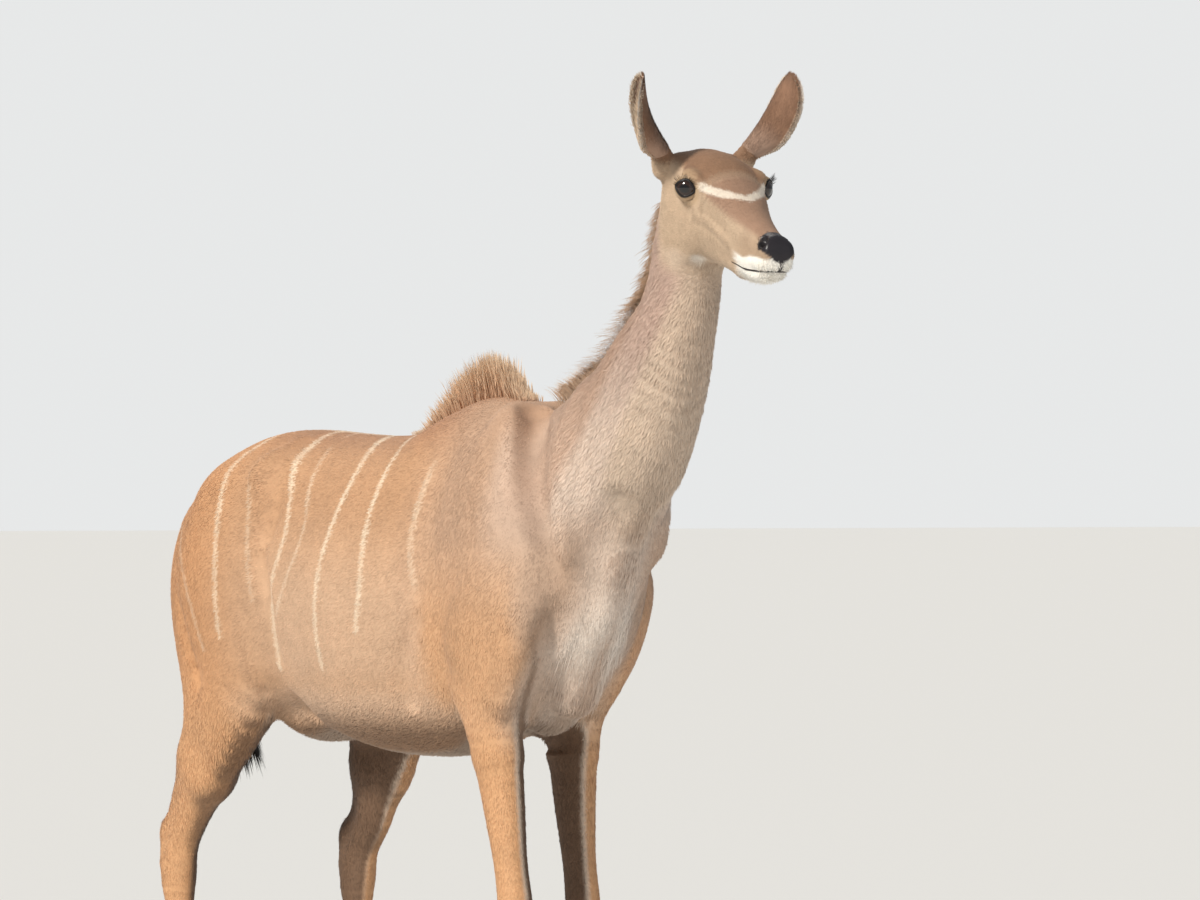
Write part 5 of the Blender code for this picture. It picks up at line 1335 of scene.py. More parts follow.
def coat(skin_points, skin_faces, skin_normals, draw, material_of):
    """The short coat over the skin, in pieces by region."""
    total = COAT_TUFTS
    eye_centres = [np.array(eye_place(side)[0]) for side in SIDES]

    def weight(middle):
        dense = np.ones(len(middle))
        dense += 1.2 * ramp(middle[:, 2], 0.62, 0.40)
        head = ramp(middle[:, 0], 0.88, 0.94) * ramp(middle[:, 2], 1.44, 1.50)
        dense += 4.0 * head
        inner = (middle[:, 2] < 0.66) | (np.abs(middle[:, 1]) > 0)
        dense *= inner
        near = middle[:, 0] > 0.9
        bare = np.zeros(len(middle))
        bare[near] = nose_share(in_head(middle[near]))
        dense *= 1 - ramp(bare, 0.2, 0.6)
        for centre in eye_centres:
            far = np.linalg.norm(middle - centre, axis=1)
            dense *= ramp(far, EYE_RADIUS + 0.0030, EYE_RADIUS + 0.0055)
        dense *= ramp(middle[:, 2], HOOF_TOP + 0.002, HOOF_TOP + 0.006)
        return dense

    place, normal = scatter(skin_points, skin_faces, skin_normals, weight, total, draw)
    head = ramp(place[:, 0], 0.88, 0.95) * ramp(place[:, 2], 1.42, 1.50)
    foot = ramp(place[:, 2], 0.62, 0.36)
    h = in_head(place)
    muzzle = head * ramp(h[:, 0], 0.06, 0.17)
    belly = ramp(place[:, 2], 0.80, 0.72) * ramp(place[:, 2], 0.60, 0.66) * ramp(normal[:, 2], -0.2, -0.7)
    length = 0.0092 - 0.0030 * head - 0.0035 * foot - 0.0022 * muzzle + 0.006 * belly
    neck = ramp(place[:, 0], 0.60, 0.70) * ramp(place[:, 2], 1.00, 1.10) * (1 - head)
    length += 0.004 * neck
    folded = np.stack([place[:, 0], np.abs(place[:, 1]), place[:, 2]], axis=1)
    length *= 1 - 0.45 * ramp(line_distance(folded, BLADE_EDGE), 0.070, 0.035)
    length *= draw.uniform(0.75, 1.2, total)
    width = (0.0017 - 0.0006 * head - 0.0003 * foot - 0.0002 * muzzle) * draw.uniform(0.75, 1.2, total)
    lift = (0.11 + 0.08 * belly + 0.03 * neck) * draw.uniform(0.6, 1.4, total)
    lie = lie_of(place, normal)
    lie = unit(lie + 0.22 * draw.normal(size=(total, 3)))
    colour = coat_colour(place, normal)
    tone = draw.normal(0, 0.060, total)
    colour = colour * (1 + tone)[:, None]
    root_tone = np.clip(colour * 0.88, 0, 1)
    tip_tone = np.clip(colour * 1.10 + 0.006, 0, 1)
    chart = chart_of(place)
    groups = {
        "coat_trunk": chart == CHART_NAMES.index("trunk"),
        "coat_neck": chart == CHART_NAMES.index("neck"),
        "coat_head": chart == CHART_NAMES.index("head"),
        "coat_tail": chart == CHART_NAMES.index("tail"),
    }
    for name in ("foreleg_right", "foreleg_left", "hindleg_right", "hindleg_left"):
        groups["coat_" + name] = chart == CHART_NAMES.index(name)
    things = []
    for name, mine in groups.items():
        mine = np.nonzero(mine)[0]
        order = mine[np.argsort(place[mine, 0])]
        for part in range(0, len(order), PIECE_TUFTS):
            some = order[part : part + PIECE_TUFTS]
            label = name if len(order) <= PIECE_TUFTS else f"{name}_{part // PIECE_TUFTS + 1}"
            things.append(
                blades(label, place[some], normal[some], lie[some], length[some], width[some], lift[some],
                       root_tone[some], tip_tone[some], material_of)
            )
    return things


COAT_TUFTS = 430000
PIECE_TUFTS = 62000
LONG_SHARES = (0.0, 0.22, 0.45, 0.68, 0.86, 1.0)
LONG_PROFILE = (0.8, 1.0, 0.95, 0.75, 0.45)


def strands(name, roots, outs, lies, length, width, colours, tips, material_of, bend=1.0, wave=None):
    """Long hair: flat strands that leave the skin along out and bend over to lie."""
    count = len(roots)
    per_ring = []
    place = roots - outs * 0.004
    flat = unit(np.cross(lies, outs) + 1e-6)
    last = 0.0
    for i, t in enumerate(LONG_SHARES):
        share = np.clip(t * bend, 0, 1)
        way = unit(outs * (1 - share)[:, None] + lies * share[:, None]) if np.ndim(share) else unit(
            outs * (1 - share) + lies * share
        )
        if wave is not None:
            way = unit(way + wave * t)
        place = place + way * ((t - last) * length)[:, None]
        last = t
        if i < len(LONG_SHARES) - 1:
            half = flat * (width * 0.5 * LONG_PROFILE[i])[:, None]
            per_ring += [place - half, place + half]
        else:
            per_ring.append(place)
    points = np.stack(per_ring, axis=1)
    per = points.shape[1]
    pattern = []
    for i in range(len(LONG_SHARES) - 2):
        a = 2 * i
        pattern += [(a, a + 1, a + 3), (a, a + 3, a + 2)]
    pattern.append((per - 3, per - 2, per - 1))
    faces = (np.arange(count) * per)[:, None, None] + np.array(pattern)[None]
    share = np.array([s for s in LONG_SHARES[:-1] for _ in (0, 1)] + [1.0])
    tone = colours[:, None, :] * (1 - share[None, :, None]) + tips[:, None, :] * share[None, :, None]
    thing = mesh_object(name, points.reshape(-1, 3), faces.reshape(-1, 3), np.clip(tone, 0, 1).reshape(-1, 3), material_of)
    chart = chart_of(roots)
    turn, along = chart_place(roots, chart)
    centre = chart_uv(turn, along, chart)
    grid = np.array([((j % 2) - 0.5, s - 0.5) for j, s in zip(range(per - 1), share[:-1])] + [(0.0, 0.5)])
    patch = centre[:, None, :] + grid[None] * 0.003
    layer = thing.data.uv_layers.new(name="OFBake")
    layer.data.foreach_set("uv", patch[:, np.array(pattern)].astype(np.float32).reshape(-1))
    return thing


def jittered(colour, count, draw, spread=0.12):
    tone = 1 + draw.normal(0, spread, count)
    return np.clip(paint(colour)[None, :] * tone[:, None], 0, 1)


def rays_to_surface(field, inside, outside, steps=28):
    """For each pair, the point where the line from inside to outside leaves the body."""
    shares = np.linspace(0, 1, steps)
    line = inside[:, None, :] + shares[None, :, None] * (outside - inside)[:, None, :]
    values = in_chunks(field, line.reshape(-1, 3)).reshape(len(inside), steps)
    below = values < 0
    last = steps - 1 - np.argmax(below[:, ::-1], axis=1)
    last = np.clip(last, 0, steps - 2)
    rows = np.arange(len(inside))
    a, b = values[rows, last], values[rows, last + 1]
    share = np.clip(a / np.where(np.abs(a - b) < 1e-9, 1, a - b), 0, 1)
    t = shares[last] + share * (shares[1] - shares[0])
    return inside + t[:, None] * (outside - inside), below.any(axis=1) & ~below[:, -1]


def kept(good, *groups):
    """Each group of rows without the rows that found no root."""
    return tuple(group[good] for group in groups)


def crest(field, draw, material_of):
    """The tall hair on the hump: reddish brown with pale tips, upright at its peak and laid back behind."""
    count = 5600
    x = draw.uniform(CREST_BACK - 0.015, CREST_FRONT + 0.030, count)
    y = draw.normal(0, 0.0085, count)
    low = np.stack([x, y, np.full(count, 1.12)], axis=1)
    high = np.stack([x, y, np.full(count, 1.36)], axis=1)
    roots, good = rays_to_surface(field, low, high)
    height = np.interp(x, CREST_X, CREST_HEIGHT) * draw.uniform(0.55, 1.12, count)
    height *= 0.30 + 0.70 * ramp(x, CREST_BACK, CREST_BACK + 0.075) * ramp(x, CREST_FRONT + 0.03, CREST_FRONT - 0.035)
    tilt = np.radians(np.interp(x, CREST_X, CREST_TILT) + 8 + draw.normal(0, 12, count))
    out = unit(np.stack([-0.35 * np.sin(tilt), y * 5, np.ones(count)], axis=1))
    lie = unit(np.stack([-np.sin(tilt), y * 9 + draw.normal(0, 0.07, count), np.cos(tilt)], axis=1))
    base = jittered(CREST, count, draw)
    tip = jittered(CREST_TIP, count, draw)
    pale = (ramp(x, CREST_BACK + 0.07, CREST_BACK) * 0.6)[:, None]
    base = base * (1 - pale) + paint(STRIPE) * pale
    return strands("crest_hair", *kept(good, roots, out, lie, height + 0.004, draw.uniform(0.0009, 0.0018, count),
                                       base, tip), material_of)


def mane(field, draw, material_of):
    """The mane down the nape: strands that lean back along its line."""
    count = 7200
    t = draw.random(count)
    at = MANE_FROM - 0.02 + t * (MANE_TO - MANE_FROM + 0.10)
    y = draw.normal(0, 0.0105, count)
    neck = smooth_rows(NECK, 8)
    shares = np.linspace(0, 1, len(neck))
    middle = np.stack([np.interp(at, shares, neck[:, i]) for i in range(3)], axis=1)
    ahead = np.stack([np.interp(at + 0.02, shares, neck[:, i]) for i in range(3)], axis=1)
    way = unit(ahead - middle)
    up = unit(np.cross(way, np.tile((0.0, 1.0, 0.0), (count, 1))))
    middle[:, 1] = y
    roots, good = rays_to_surface(field, middle, middle + up * 0.24)
    length = np.interp(t, MANE_SHARE, MANE_LENGTH) * draw.uniform(0.55, 1.10, count)
    lean = draw.uniform(MANE_LEAN[0], MANE_LEAN[1], count)
    lie = unit(up - way * lean[:, None] + np.stack([np.zeros(count), y * 16 + draw.normal(0, 0.10, count),
                                                    np.zeros(count)], axis=1))
    base = jittered(MANE, count, draw)
    pale = ramp(t, 0.20, 0.02)
    tips = jittered(MANE, count, draw) * 1.25
    tips = tips * (1 - pale[:, None]) + jittered(CREST_TIP, count, draw) * pale[:, None]
    return strands("mane_hair", *kept(good, roots, up, lie, length, draw.uniform(0.0009, 0.0017, count), base, tips),
                   material_of)


def tail_hair(field, draw, material_of):
    """The tail's coat and its brush: reddish brown behind, white below, dark at the tip."""
    count = 4200
    path = smooth_rows(TAIL, 8)
    shares = np.linspace(0, 1, len(path))
    t = 0.30 + 0.70 * draw.random(count) ** 0.8
    row = np.stack([np.interp(t, shares, path[:, i]) for i in range(5)], axis=1)
    ahead = np.stack([np.interp(np.minimum(t + 0.02, 1.0), shares, path[:, i]) for i in range(3)], axis=1)
    behind_row = np.stack([np.interp(t - 0.02, shares, path[:, i]) for i in range(3)], axis=1)
    way = unit(ahead - behind_row)
    side = np.tile((0.0, 1.0, 0.0), (count, 1))
    behind = unit(np.cross(side, way))
    angle = draw.uniform(-math.pi, math.pi, count)
    out = side * np.sin(angle)[:, None] + behind * np.cos(angle)[:, None]
    roots = row[:, :3] + side * (np.sin(angle) * row[:, 3] * 0.8)[:, None]
    roots = roots + behind * (np.cos(angle) * row[:, 4] * 0.8)[:, None]
    lie = unit(way + out * draw.uniform(0.02, 0.20, count)[:, None])
    length = (0.030 + 0.072 * ramp(t, 0.35, 0.85)) * draw.uniform(0.7, 1.15, count)
    front = ramp(np.cos(angle), -0.2, -0.7)
    base = jittered(TAIL_BACK, count, draw)
    base = base * (1 - front[:, None]) + jittered(WHITE, count, draw, 0.05) * front[:, None]
    dark = ramp(t, 0.72, 0.92)
    base = base * (1 - dark[:, None]) + jittered(TAIL_TIP, count, draw) * dark[:, None]
    tips = base * (1 - 0.6 * ramp(t, 0.60, 0.85))[:, None]
    leave = unit(out * 0.5 + way)
    return strands("tail_hair", roots, leave, lie, length, draw.uniform(0.0014, 0.0026, count), base, tips, material_of)


def throat_hair(field, draw, material_of):
    """Longer pale hair down the front of the throat, under the chin and at the brisket."""
    count = 5200
    kind = draw.random(count)
    t = draw.random(count)
    path = np.array(((0.985, 0.0, 1.500), (0.930, 0.0, 1.440), (0.900, 0.0, 1.370), (0.860, 0.0, 1.290),
                     (0.790, 0.0, 1.190), (0.700, 0.0, 1.060), (0.610, 0.0, 0.930), (0.520, 0.0, 0.800)))
    shares = np.linspace(0, 1, len(path))
    middle = np.stack([np.interp(t, shares, path[:, i]) for i in range(3)], axis=1)
    middle[:, 1] = draw.normal(0, 0.012, count) * (1 + 1.2 * ramp(t, 0.80, 0.95))
    way = np.stack([np.interp(np.minimum(t + 0.03, 1), shares, path[:, i]) for i in range(3)], axis=1)
    back = np.stack([np.interp(np.maximum(t - 0.03, 0), shares, path[:, i]) for i in range(3)], axis=1)
    way = unit(way - back)
    out = unit(np.cross(np.tile((0.0, 1.0, 0.0), (count, 1)), way))
    out = np.where((out[:, 0] < 0)[:, None], -out, out)
    out = unit(out + np.stack([np.zeros(count), middle[:, 1] * 12, np.zeros(count)], axis=1))
    start = middle - out * 0.09
    roots, good = rays_to_surface(field, start, middle + out * 0.13)
    length = (0.017 + 0.012 * ramp(t, 0.85, 0.97)) * draw.uniform(0.5, 1.2, count) * (0.75 + 0.5 * kind)
    lie = unit(way + out * draw.uniform(0.02, 0.18, count)[:, None])
    normal = out
    base = coat_colour(roots, normal)
    tips = np.clip(base * 1.10 + 0.02, 0, 1)
    return strands("throat_hair", *kept(good, roots, unit(out + 2 * way), lie, length, draw.uniform(0.0008, 0.0015, count),
                                        base, tips), material_of)


def chin_hair(field, draw, material_of):
    """White hair under the chin and the whiskers of the muzzle."""
    count = 520
    matrix = np.array(head_matrix())
    turn, move = matrix[:3, :3], matrix[:3, 3]
    inside = np.stack([draw.uniform(0.135, 0.205, count), draw.normal(0, 0.011, count), np.full(count, -0.100)], axis=1)
    outside = inside + np.array((0.0, 0.0, -0.06))
    roots, good = rays_to_surface(field, inside @ turn.T + move, outside @ turn.T + move)
    down = np.tile(turn @ np.array((0.0, 0.0, -1.0)), (count, 1))
    back = np.tile(turn @ np.array((-0.9, 0.0, -0.55)), (count, 1))
    lie = unit(back + draw.normal(0, 0.16, (count, 3)))
    length = draw.uniform(0.008, 0.017, count)
    tone = jittered(WHITE, count, draw, 0.05)
    return strands("chin_hair", *kept(good, roots, down, lie, length, draw.uniform(0.0009, 0.0016, count), tone, tone),
                   material_of, bend=1.4)


def lip_hair(field, draw, material_of):
    """Short white bristles on the front of both lips."""
    count = 900
    matrix = np.array(head_matrix())
    turn, move = matrix[:3, :3], matrix[:3, 3]
    a = draw.uniform(-1.25, 1.25, count)
    z = draw.uniform(-0.108, -0.070, count)
    inside = np.stack([np.full(count, 0.196), np.zeros(count), z], axis=1)
    way = np.stack([np.cos(a), np.sin(a), draw.uniform(-0.25, 0.05, count)], axis=1)
    roots, good = rays_to_surface(field, inside @ turn.T + move, (inside + way * 0.07) @ turn.T + move)
    good &= nose_share(in_head(roots)) < 0.1
    out = unit(way @ turn.T)
    lie = unit(out * 0.7 + np.array((0.0, 0.0, -0.55)) + draw.normal(0, 0.22, (count, 3)))
    length = draw.uniform(0.0045, 0.0095, count)
    tone = jittered(WHITE, count, draw, 0.05)
    return strands("lip_hair", *kept(good, roots, out, lie, length, draw.uniform(0.0006, 0.0011, count), tone, tone),
                   material_of, bend=1.2)


def ear_leaf(side, rows, columns):
    """Points of the ear's outer and inner walls, each with a normal, and the ways along it."""
    root, lean, opening, across = (np.array(v) for v in ear_frame(side))
    start = root + lean * EAR_STUMP
    outer, inner, out_normal = [], [], []
    for i in range(rows + 1):
        s = i / rows
        half = EAR_WIDTH * float(np.interp(s, EAR_SHARE, EAR_WIDTHS))
        turn = math.radians(float(np.interp(s, EAR_SHARE, EAR_ROLL)))
        radius = half / (1.0 if turn > math.pi / 2 else math.sin(turn))
        wall = min(EAR_WALL * (1 - 0.45 * s), half * 0.5) * 0.62
        middle = start + lean * (EAR_LENGTH * s) + opening * (EAR_BOW * math.sin(math.pi * s) - EAR_SET)
        for j in range(columns + 1):
            a = turn * (2 * j / columns - 1)
            way = -opening * math.cos(a) + across * math.sin(a)
            outer.append(middle + opening * radius + way * (radius - 0.0006))
            inner.append(middle + opening * radius + way * (radius - 0.0006 - wall))
            out_normal.append(way)
    return np.array(outer), np.array(inner), np.array(out_normal), lean, opening


def ear(side, draw, skin_material, coat_material):
    """The ear's leaf with its coat: reddish brown behind, pale at the rim, long pale hair inside."""
    rows, columns = 44, 30
    outer, inner, normals, lean, opening = ear_leaf(side, rows, columns)
    wide = columns + 1
    faces = []
    for i in range(rows):
        for j in range(columns):
            a = i * wide + j
            faces.append((a, a + 1, a + wide + 1, a + wide))
    faces = np.array(faces)
    count = len(outer)
    inner_faces = faces[:, ::-1] + count
    rim = []
    for i in range(rows):
        a = i * wide
        rim.append((a, a + wide, a + wide + count, a + count))
        b = i * wide + columns
        rim.append((b + wide, b, b + count, b + wide + count))
    for j in range(columns):
        a = rows * wide + j
        rim.append((a, a + 1, a + 1 + count, a + count))
        rim.append((j + 1, j, j + count, j + 1 + count))
    points = np.vstack([outer, inner])
    all_faces = np.vstack([faces, inner_faces, np.array(rim)])
    share_up = np.repeat(np.arange(rows + 1) / rows, wide)
    share_across = np.tile(np.abs(2 * np.arange(wide) / columns - 1), rows + 1)
    edge = ramp(share_across, 0.80, 0.97)
    back_colour = np.tile(paint(EAR_BACK), (count, 1))
    back_colour = mix(back_colour, EAR_INNER, ramp(share_up, 0.42, 0.10) * 0.6)
    back_colour = mix(back_colour, DARK, ramp(share_up, 0.86, 1.0) * 0.35)
    back_colour = mix(back_colour, WHITE, edge * 0.7)
    in_colour = np.tile(paint(EAR_INNER), (count, 1))
    # Painted shade deep in the cup, near the root and away from the rims.
    in_colour = mix(in_colour, DARK, ramp(share_up, 0.30, 0.02) * ramp(share_across, 0.7, 0.2) * 0.75)
    colours = np.vstack([back_colour, in_colour])
    thing = mesh_object(f"ear_{side}_skin", points, all_faces, colours, skin_material)
    recalc = bmesh.new()
    recalc.from_mesh(thing.data)
    bmesh.ops.recalc_face_normals(recalc, faces=recalc.faces[:])
    recalc.to_mesh(thing.data)
    recalc.free()
    layer = thing.data.uv_layers.new(name="OFBake")
    corners = np.empty(len(thing.data.loops), dtype=np.int32)
    thing.data.loops.foreach_get("vertex_index", corners)
    chart = CHARTS[f"ear_{side}"]
    half_share = np.tile(np.arange(wide) / columns, rows + 1)
    u = np.concatenate([half_share * 0.48, 0.52 + half_share * 0.48])
    v = np.concatenate([share_up, share_up])
    uv = np.stack([chart[0] + u * chart[2], chart[1] + v * chart[3]], axis=1)[corners]
    layer.data.foreach_set("uv", uv.astype(np.float32).reshape(-1))
    # Coat on the back, hair along the rim and within the cup.
    things = [thing]
    total = 9000
    spot_at = draw.integers(0, len(faces), total)
    s, t = draw.random(total)[:, None], draw.random(total)[:, None]
    weights = ((1 - s) * (1 - t), s * (1 - t), s * t, (1 - s) * t)
    place = sum(w * outer[faces[spot_at, i]] for i, w in enumerate(weights))
    normal = unit(sum(w * normals[faces[spot_at, i]] for i, w in enumerate(weights)))
    colour = sum(w * back_colour[faces[spot_at, i]] for i, w in enumerate(weights))
    tone = (1 + draw.normal(0, 0.10, total))[:, None]
    lie = unit(np.tile(lean, (total, 1)) + draw.normal(0, 0.14, (total, 3)))
    things.append(
        blades(f"ear_{side}_coat", place, normal, lie, draw.uniform(0.006, 0.010, total),
               draw.uniform(0.0010, 0.0018, total), draw.uniform(0.08, 0.22, total),
               np.clip(colour * tone * 0.9, 0, 1), np.clip(colour * tone * 1.1, 0, 1), coat_material)
    )
    total = 2400
    row = draw.random(total) ** 0.9
    sides = np.sign(draw.normal(size=total))
    grid_row = np.clip((row * rows).astype(int), 0, rows - 1)
    depth = (draw.random(total) * 3).astype(int)
    grid_column = np.where(sides > 0, columns - depth, depth)
    index = grid_row * wide + grid_column
    place = inner[index] + draw.normal(0, 0.0008, (total, 3))
    inwards = unit(np.array([inner[i * wide + columns // 2] for i in grid_row]) - place)
    out = unit(opening - normals[index] * 0.4 + inwards * 0.7)
    lie = unit(np.tile(lean, (total, 1)) * 0.9 + inwards * 0.55 + draw.normal(0, 0.16, (total, 3)))
    length = 0.011 + 0.010 * np.interp(row, (0.0, 0.3, 0.8, 1.0), (0.8, 1.0, 0.6, 0.2))
    length = length * draw.uniform(0.6, 1.15, total)
    tone = jittered(EAR_HAIR, total, draw, 0.08)
    things.append(
        strands(f"ear_{side}_hair", place, out, lie, length, draw.uniform(0.0008, 0.0016, total), tone, tone,
                coat_material)
    )
    return things


def eye_frame(side):
    """The eye's centre, the way it looks, and the ways along and up its lids."""
    look = Vector((SIGHT[0], SIDES[side] * SIGHT[1], SIGHT[2])).normalized()
    look = head_matrix().to_3x3() @ look
    forward = head_matrix().to_3x3() @ Vector((1, 0, 0))
    along = (forward - look * forward.dot(look)).normalized()
    upward = look.cross(along)
    if upward.z < 0:
        upward = -upward
    return eye_place(side)[0], look, along, upward


def slit_way(a, look, along, upward, grow=0.0):
    """The way from the eye's centre to a place on the edge of the lids, or outside it by an angle."""
    reach_x = SLIT_LONG * math.cos(a)
    reach_y = SLIT_HIGH * math.sin(a) * (1 - 0.22 * math.cos(a) ** 2) * (1.0 if math.sin(a) > 0 else 0.92)
    edge = (look + along * math.tan(reach_x) + upward * math.tan(reach_y)).normalized()
    outward = (edge - look * edge.dot(look)).normalized()
    angle = edge.angle(look) + grow
    return look * math.cos(angle) + outward * math.sin(angle)


def lid_skin(side, base, material_of, steps=72, rings=16):
    """The lids: coat-coloured shells over the eyeball from the dark rim outward, until the face covers them, with
    painted shade in the upper lid's fold.
    """
    centre, look, along, upward = eye_frame(side)
    points, faces, tones = [], [], []
    for k in range(steps):
        a = 2 * math.pi * k / steps
        for m in range(rings):
            grow = math.radians(3 + 4.6 * m)
            way = slit_way(a, look, along, upward, grow)
            fold = 0.0007 * math.sin(math.radians(26) * m) if math.sin(a) > 0 else 0.0004 * math.sin(0.8 * m)
            points.append(centre + way * (EYE_RADIUS + 0.0011 + 0.0005 * min(m, 3) / 3 + fold))
            share = max(0.0, 1 - m / 2.2) * 0.8
            # Rings 4 and 5 of the upper lid are darkened: painted shade in the lid's fold.
            tones.append(paint(LID) * share + base * (1 - share) * (0.86 if math.sin(a) > 0.2 and m in (4, 5) else 1.0))
    for i in range(steps):
        n = (i + 1) % steps
        for m in range(rings - 1):
            faces.append((i * rings + m, i * rings + m + 1, n * rings + m + 1, n * rings + m))
    return mesh_object(f"lid_skin_{side}", np.array(points), np.array(faces), np.array(tones), material_of)


def lid_rim(side, steps=56, around=12):
    """The dark rim of the lids, an almond loop on the eyeball."""
    centre, look, along, upward = eye_frame(side)
    points, faces, crown = [], [], []
    for k in range(steps):
        a = 2 * math.pi * k / steps
        way = slit_way(a, look, along, upward)
        outward = (along * math.cos(a) + upward * math.sin(a)).normalized()
        skirt = outward * math.cos(LID_SLOPE) - look * math.sin(LID_SLOPE)
        middle = centre + way * (EYE_RADIUS + 0.0002) + skirt * (RIM_BROAD * 0.5)
        thick = LID_THICK * (1.15 if math.sin(a) > 0 else 0.8)
        for m in range(around):
            b = 2 * math.pi * m / around
            points.append(middle + way * thick * math.cos(b) + skirt * RIM_BROAD * math.sin(b))
        crown.append((middle + way * thick, way, outward, math.sin(a), math.cos(a)))
    for i in range(steps):
        n = (i + 1) % steps
        for m in range(around):
            q = (m + 1) % around
            faces.append((i * around + m, i * around + q, n * around + q, n * around + m))
    return np.array(points), np.array(faces), crown


def lashes(side, draw, crown, material_of):
    """Black lashes, longest on the upper lid."""
    roots, outs, lies, length = [], [], [], []
    for _ in range(150):
        place, way, outward, high, fore = crown[draw.integers(0, len(crown))]
        if high < -0.15 and draw.random() < 0.75:
            continue
        roots.append(place)
        outs.append(way + outward * 0.8)
        upper = max(high, 0.0)
        lies.append(way * 0.75 + outward * 0.75 + Vector((0, 0, -0.28 * upper)))
        length.append((0.0050 + 0.0080 * upper * (1.25 - 0.75 * max(fore, -1.0))) * draw.uniform(0.7, 1.15))
    roots, outs, lies = (np.array([tuple(v) for v in group]) for group in (roots, outs, lies))
    lies = unit(lies + draw.normal(0, 0.10, lies.shape))
    tone = jittered(LID, len(roots), draw, 0.1)
    return strands(f"lashes_{side}", roots, unit(outs), lies, np.array(length), np.full(len(roots), 0.0010), tone, tone,
                   material_of)


def eyeball(side, material_of):
    """The eyeball, a smooth ball with its poles along the way it looks."""
    centre, look, along, upward = eye_frame(side)
    work = bmesh.new()
    bmesh.ops.create_uvsphere(work, u_segments=64, v_segments=40, radius=EYE_RADIUS)
    matrix = Matrix.Translation(centre) @ look.to_track_quat("Z", "Y").to_matrix().to_4x4()
    bmesh.ops.transform(work, matrix=matrix, verts=work.verts[:])
    mesh = bpy.data.meshes.new(f"eyeball_{side}")
    work.to_mesh(mesh)
    work.free()
    mesh.shade_smooth()
    thing = new_object(f"eyeball_{side}", mesh)
    places = np.array([v.co[:] for v in mesh.vertices])
    rel = places - np.array(centre)
    gaze = np.array((look + along * 0.05).normalized())
    along, upward = np.array(along), np.array(upward)
    far = np.sqrt((rel @ along / 1.18) ** 2 + (rel @ upward) ** 2)
    facing = rel @ gaze > 0
    colours = np.tile(paint((46, 27, 16)), (len(places), 1))
    colours = mix(colours, (14, 9, 8), np.where(facing, ramp(far, 0.0085, 0.0060), 0))
    colours = mix(colours, (22, 14, 10), ramp(far, 0.0110, 0.0150) * 0.9)
    layer = mesh.color_attributes.new(name="coat", type="FLOAT_COLOR", domain="POINT")
    full = np.ones((len(places), 4), dtype=np.float32)
    full[:, :3] = colours
    layer.data.foreach_set("color", full.reshape(-1))
    mesh.materials.append(material_of)
    return thing


def lip_line(field, material_of):
    """The dark line between the lips, laid into its groove."""
    line = mouth_line()
    matrix = np.array(head_matrix())
    turn, move = matrix[:3, :3], matrix[:3, 3]
    fine = smooth_rows(line, 3)
    inner = fine - unit(fine * np.array((0.0, 1.0, 0.0)) + np.array((0.03, 0, 0))) * 0.012
    inside, outside = inner @ turn.T + move, (fine + (fine - inner)) @ turn.T + move
    centre, _ = rays_to_surface(field, inside, outside, 40)
    rings = []
    for i, place in enumerate(centre):
        way = Vector(centre[min(i + 1, len(centre) - 1)] - centre[max(i - 1, 0)]).normalized()
        out = Vector(outside[i] - inside[i]).normalized()
        up = way.cross(out).normalized()
        taper = min(1.0, 0.35 + 0.65 * min(i, len(centre) - 1 - i) / 6)
        rings.append([Vector(place) + out * 0.0010 + (out * math.cos(a) + up * math.sin(a)) * 0.0014 * taper
                      for a in (2 * math.pi * k / 8 for k in range(8))])
    thing = new_object("lip_line", ring_mesh("lip_line", rings))
    thing.data.shade_smooth()
    thing.data.materials.append(material_of)
    return thing


def claw(name, x, y, turn, material_of):
    """One half of a cloven hoof, with rounded walls."""
    heights = np.linspace(0, 1, 15)
    rings = []
    for height in heights:
        share = float(np.interp(height, [r[0] for r in CLAW_RINGS], [r[1] for r in CLAW_RINGS]))
        shift = float(np.interp(height, [r[0] for r in CLAW_RINGS], [r[2] for r in CLAW_RINGS]))
        ring = []
        for k in range(48):
            a = 2 * math.pi * k / 48
            along = math.cos(a)
            reach = CLAW_LENGTH * (CLAW_TOE if along > 0 else 1 - CLAW_TOE) * share
            taper = 1 - CLAW_POINT * max(along, 0) ** 1.5
            wide = CLAW_WIDTH / 2 * share * taper * (1 + 0.010 * math.sin(height * 30))
            ring.append(Vector((along * reach + shift * CLAW_LEAN, math.sin(a) * wide, height * HOOF_TOP)))
        rings.append(ring)
    matrix = Matrix.Translation((x, y, 0)) @ Matrix.Rotation(turn, 4, "Z")
    rings = [[matrix @ point for point in ring] for ring in rings]
    thing = new_object(name, ring_mesh(name, rings))
    thing.data.shade_smooth()
    thing.data.materials.append(material_of)
    return thing


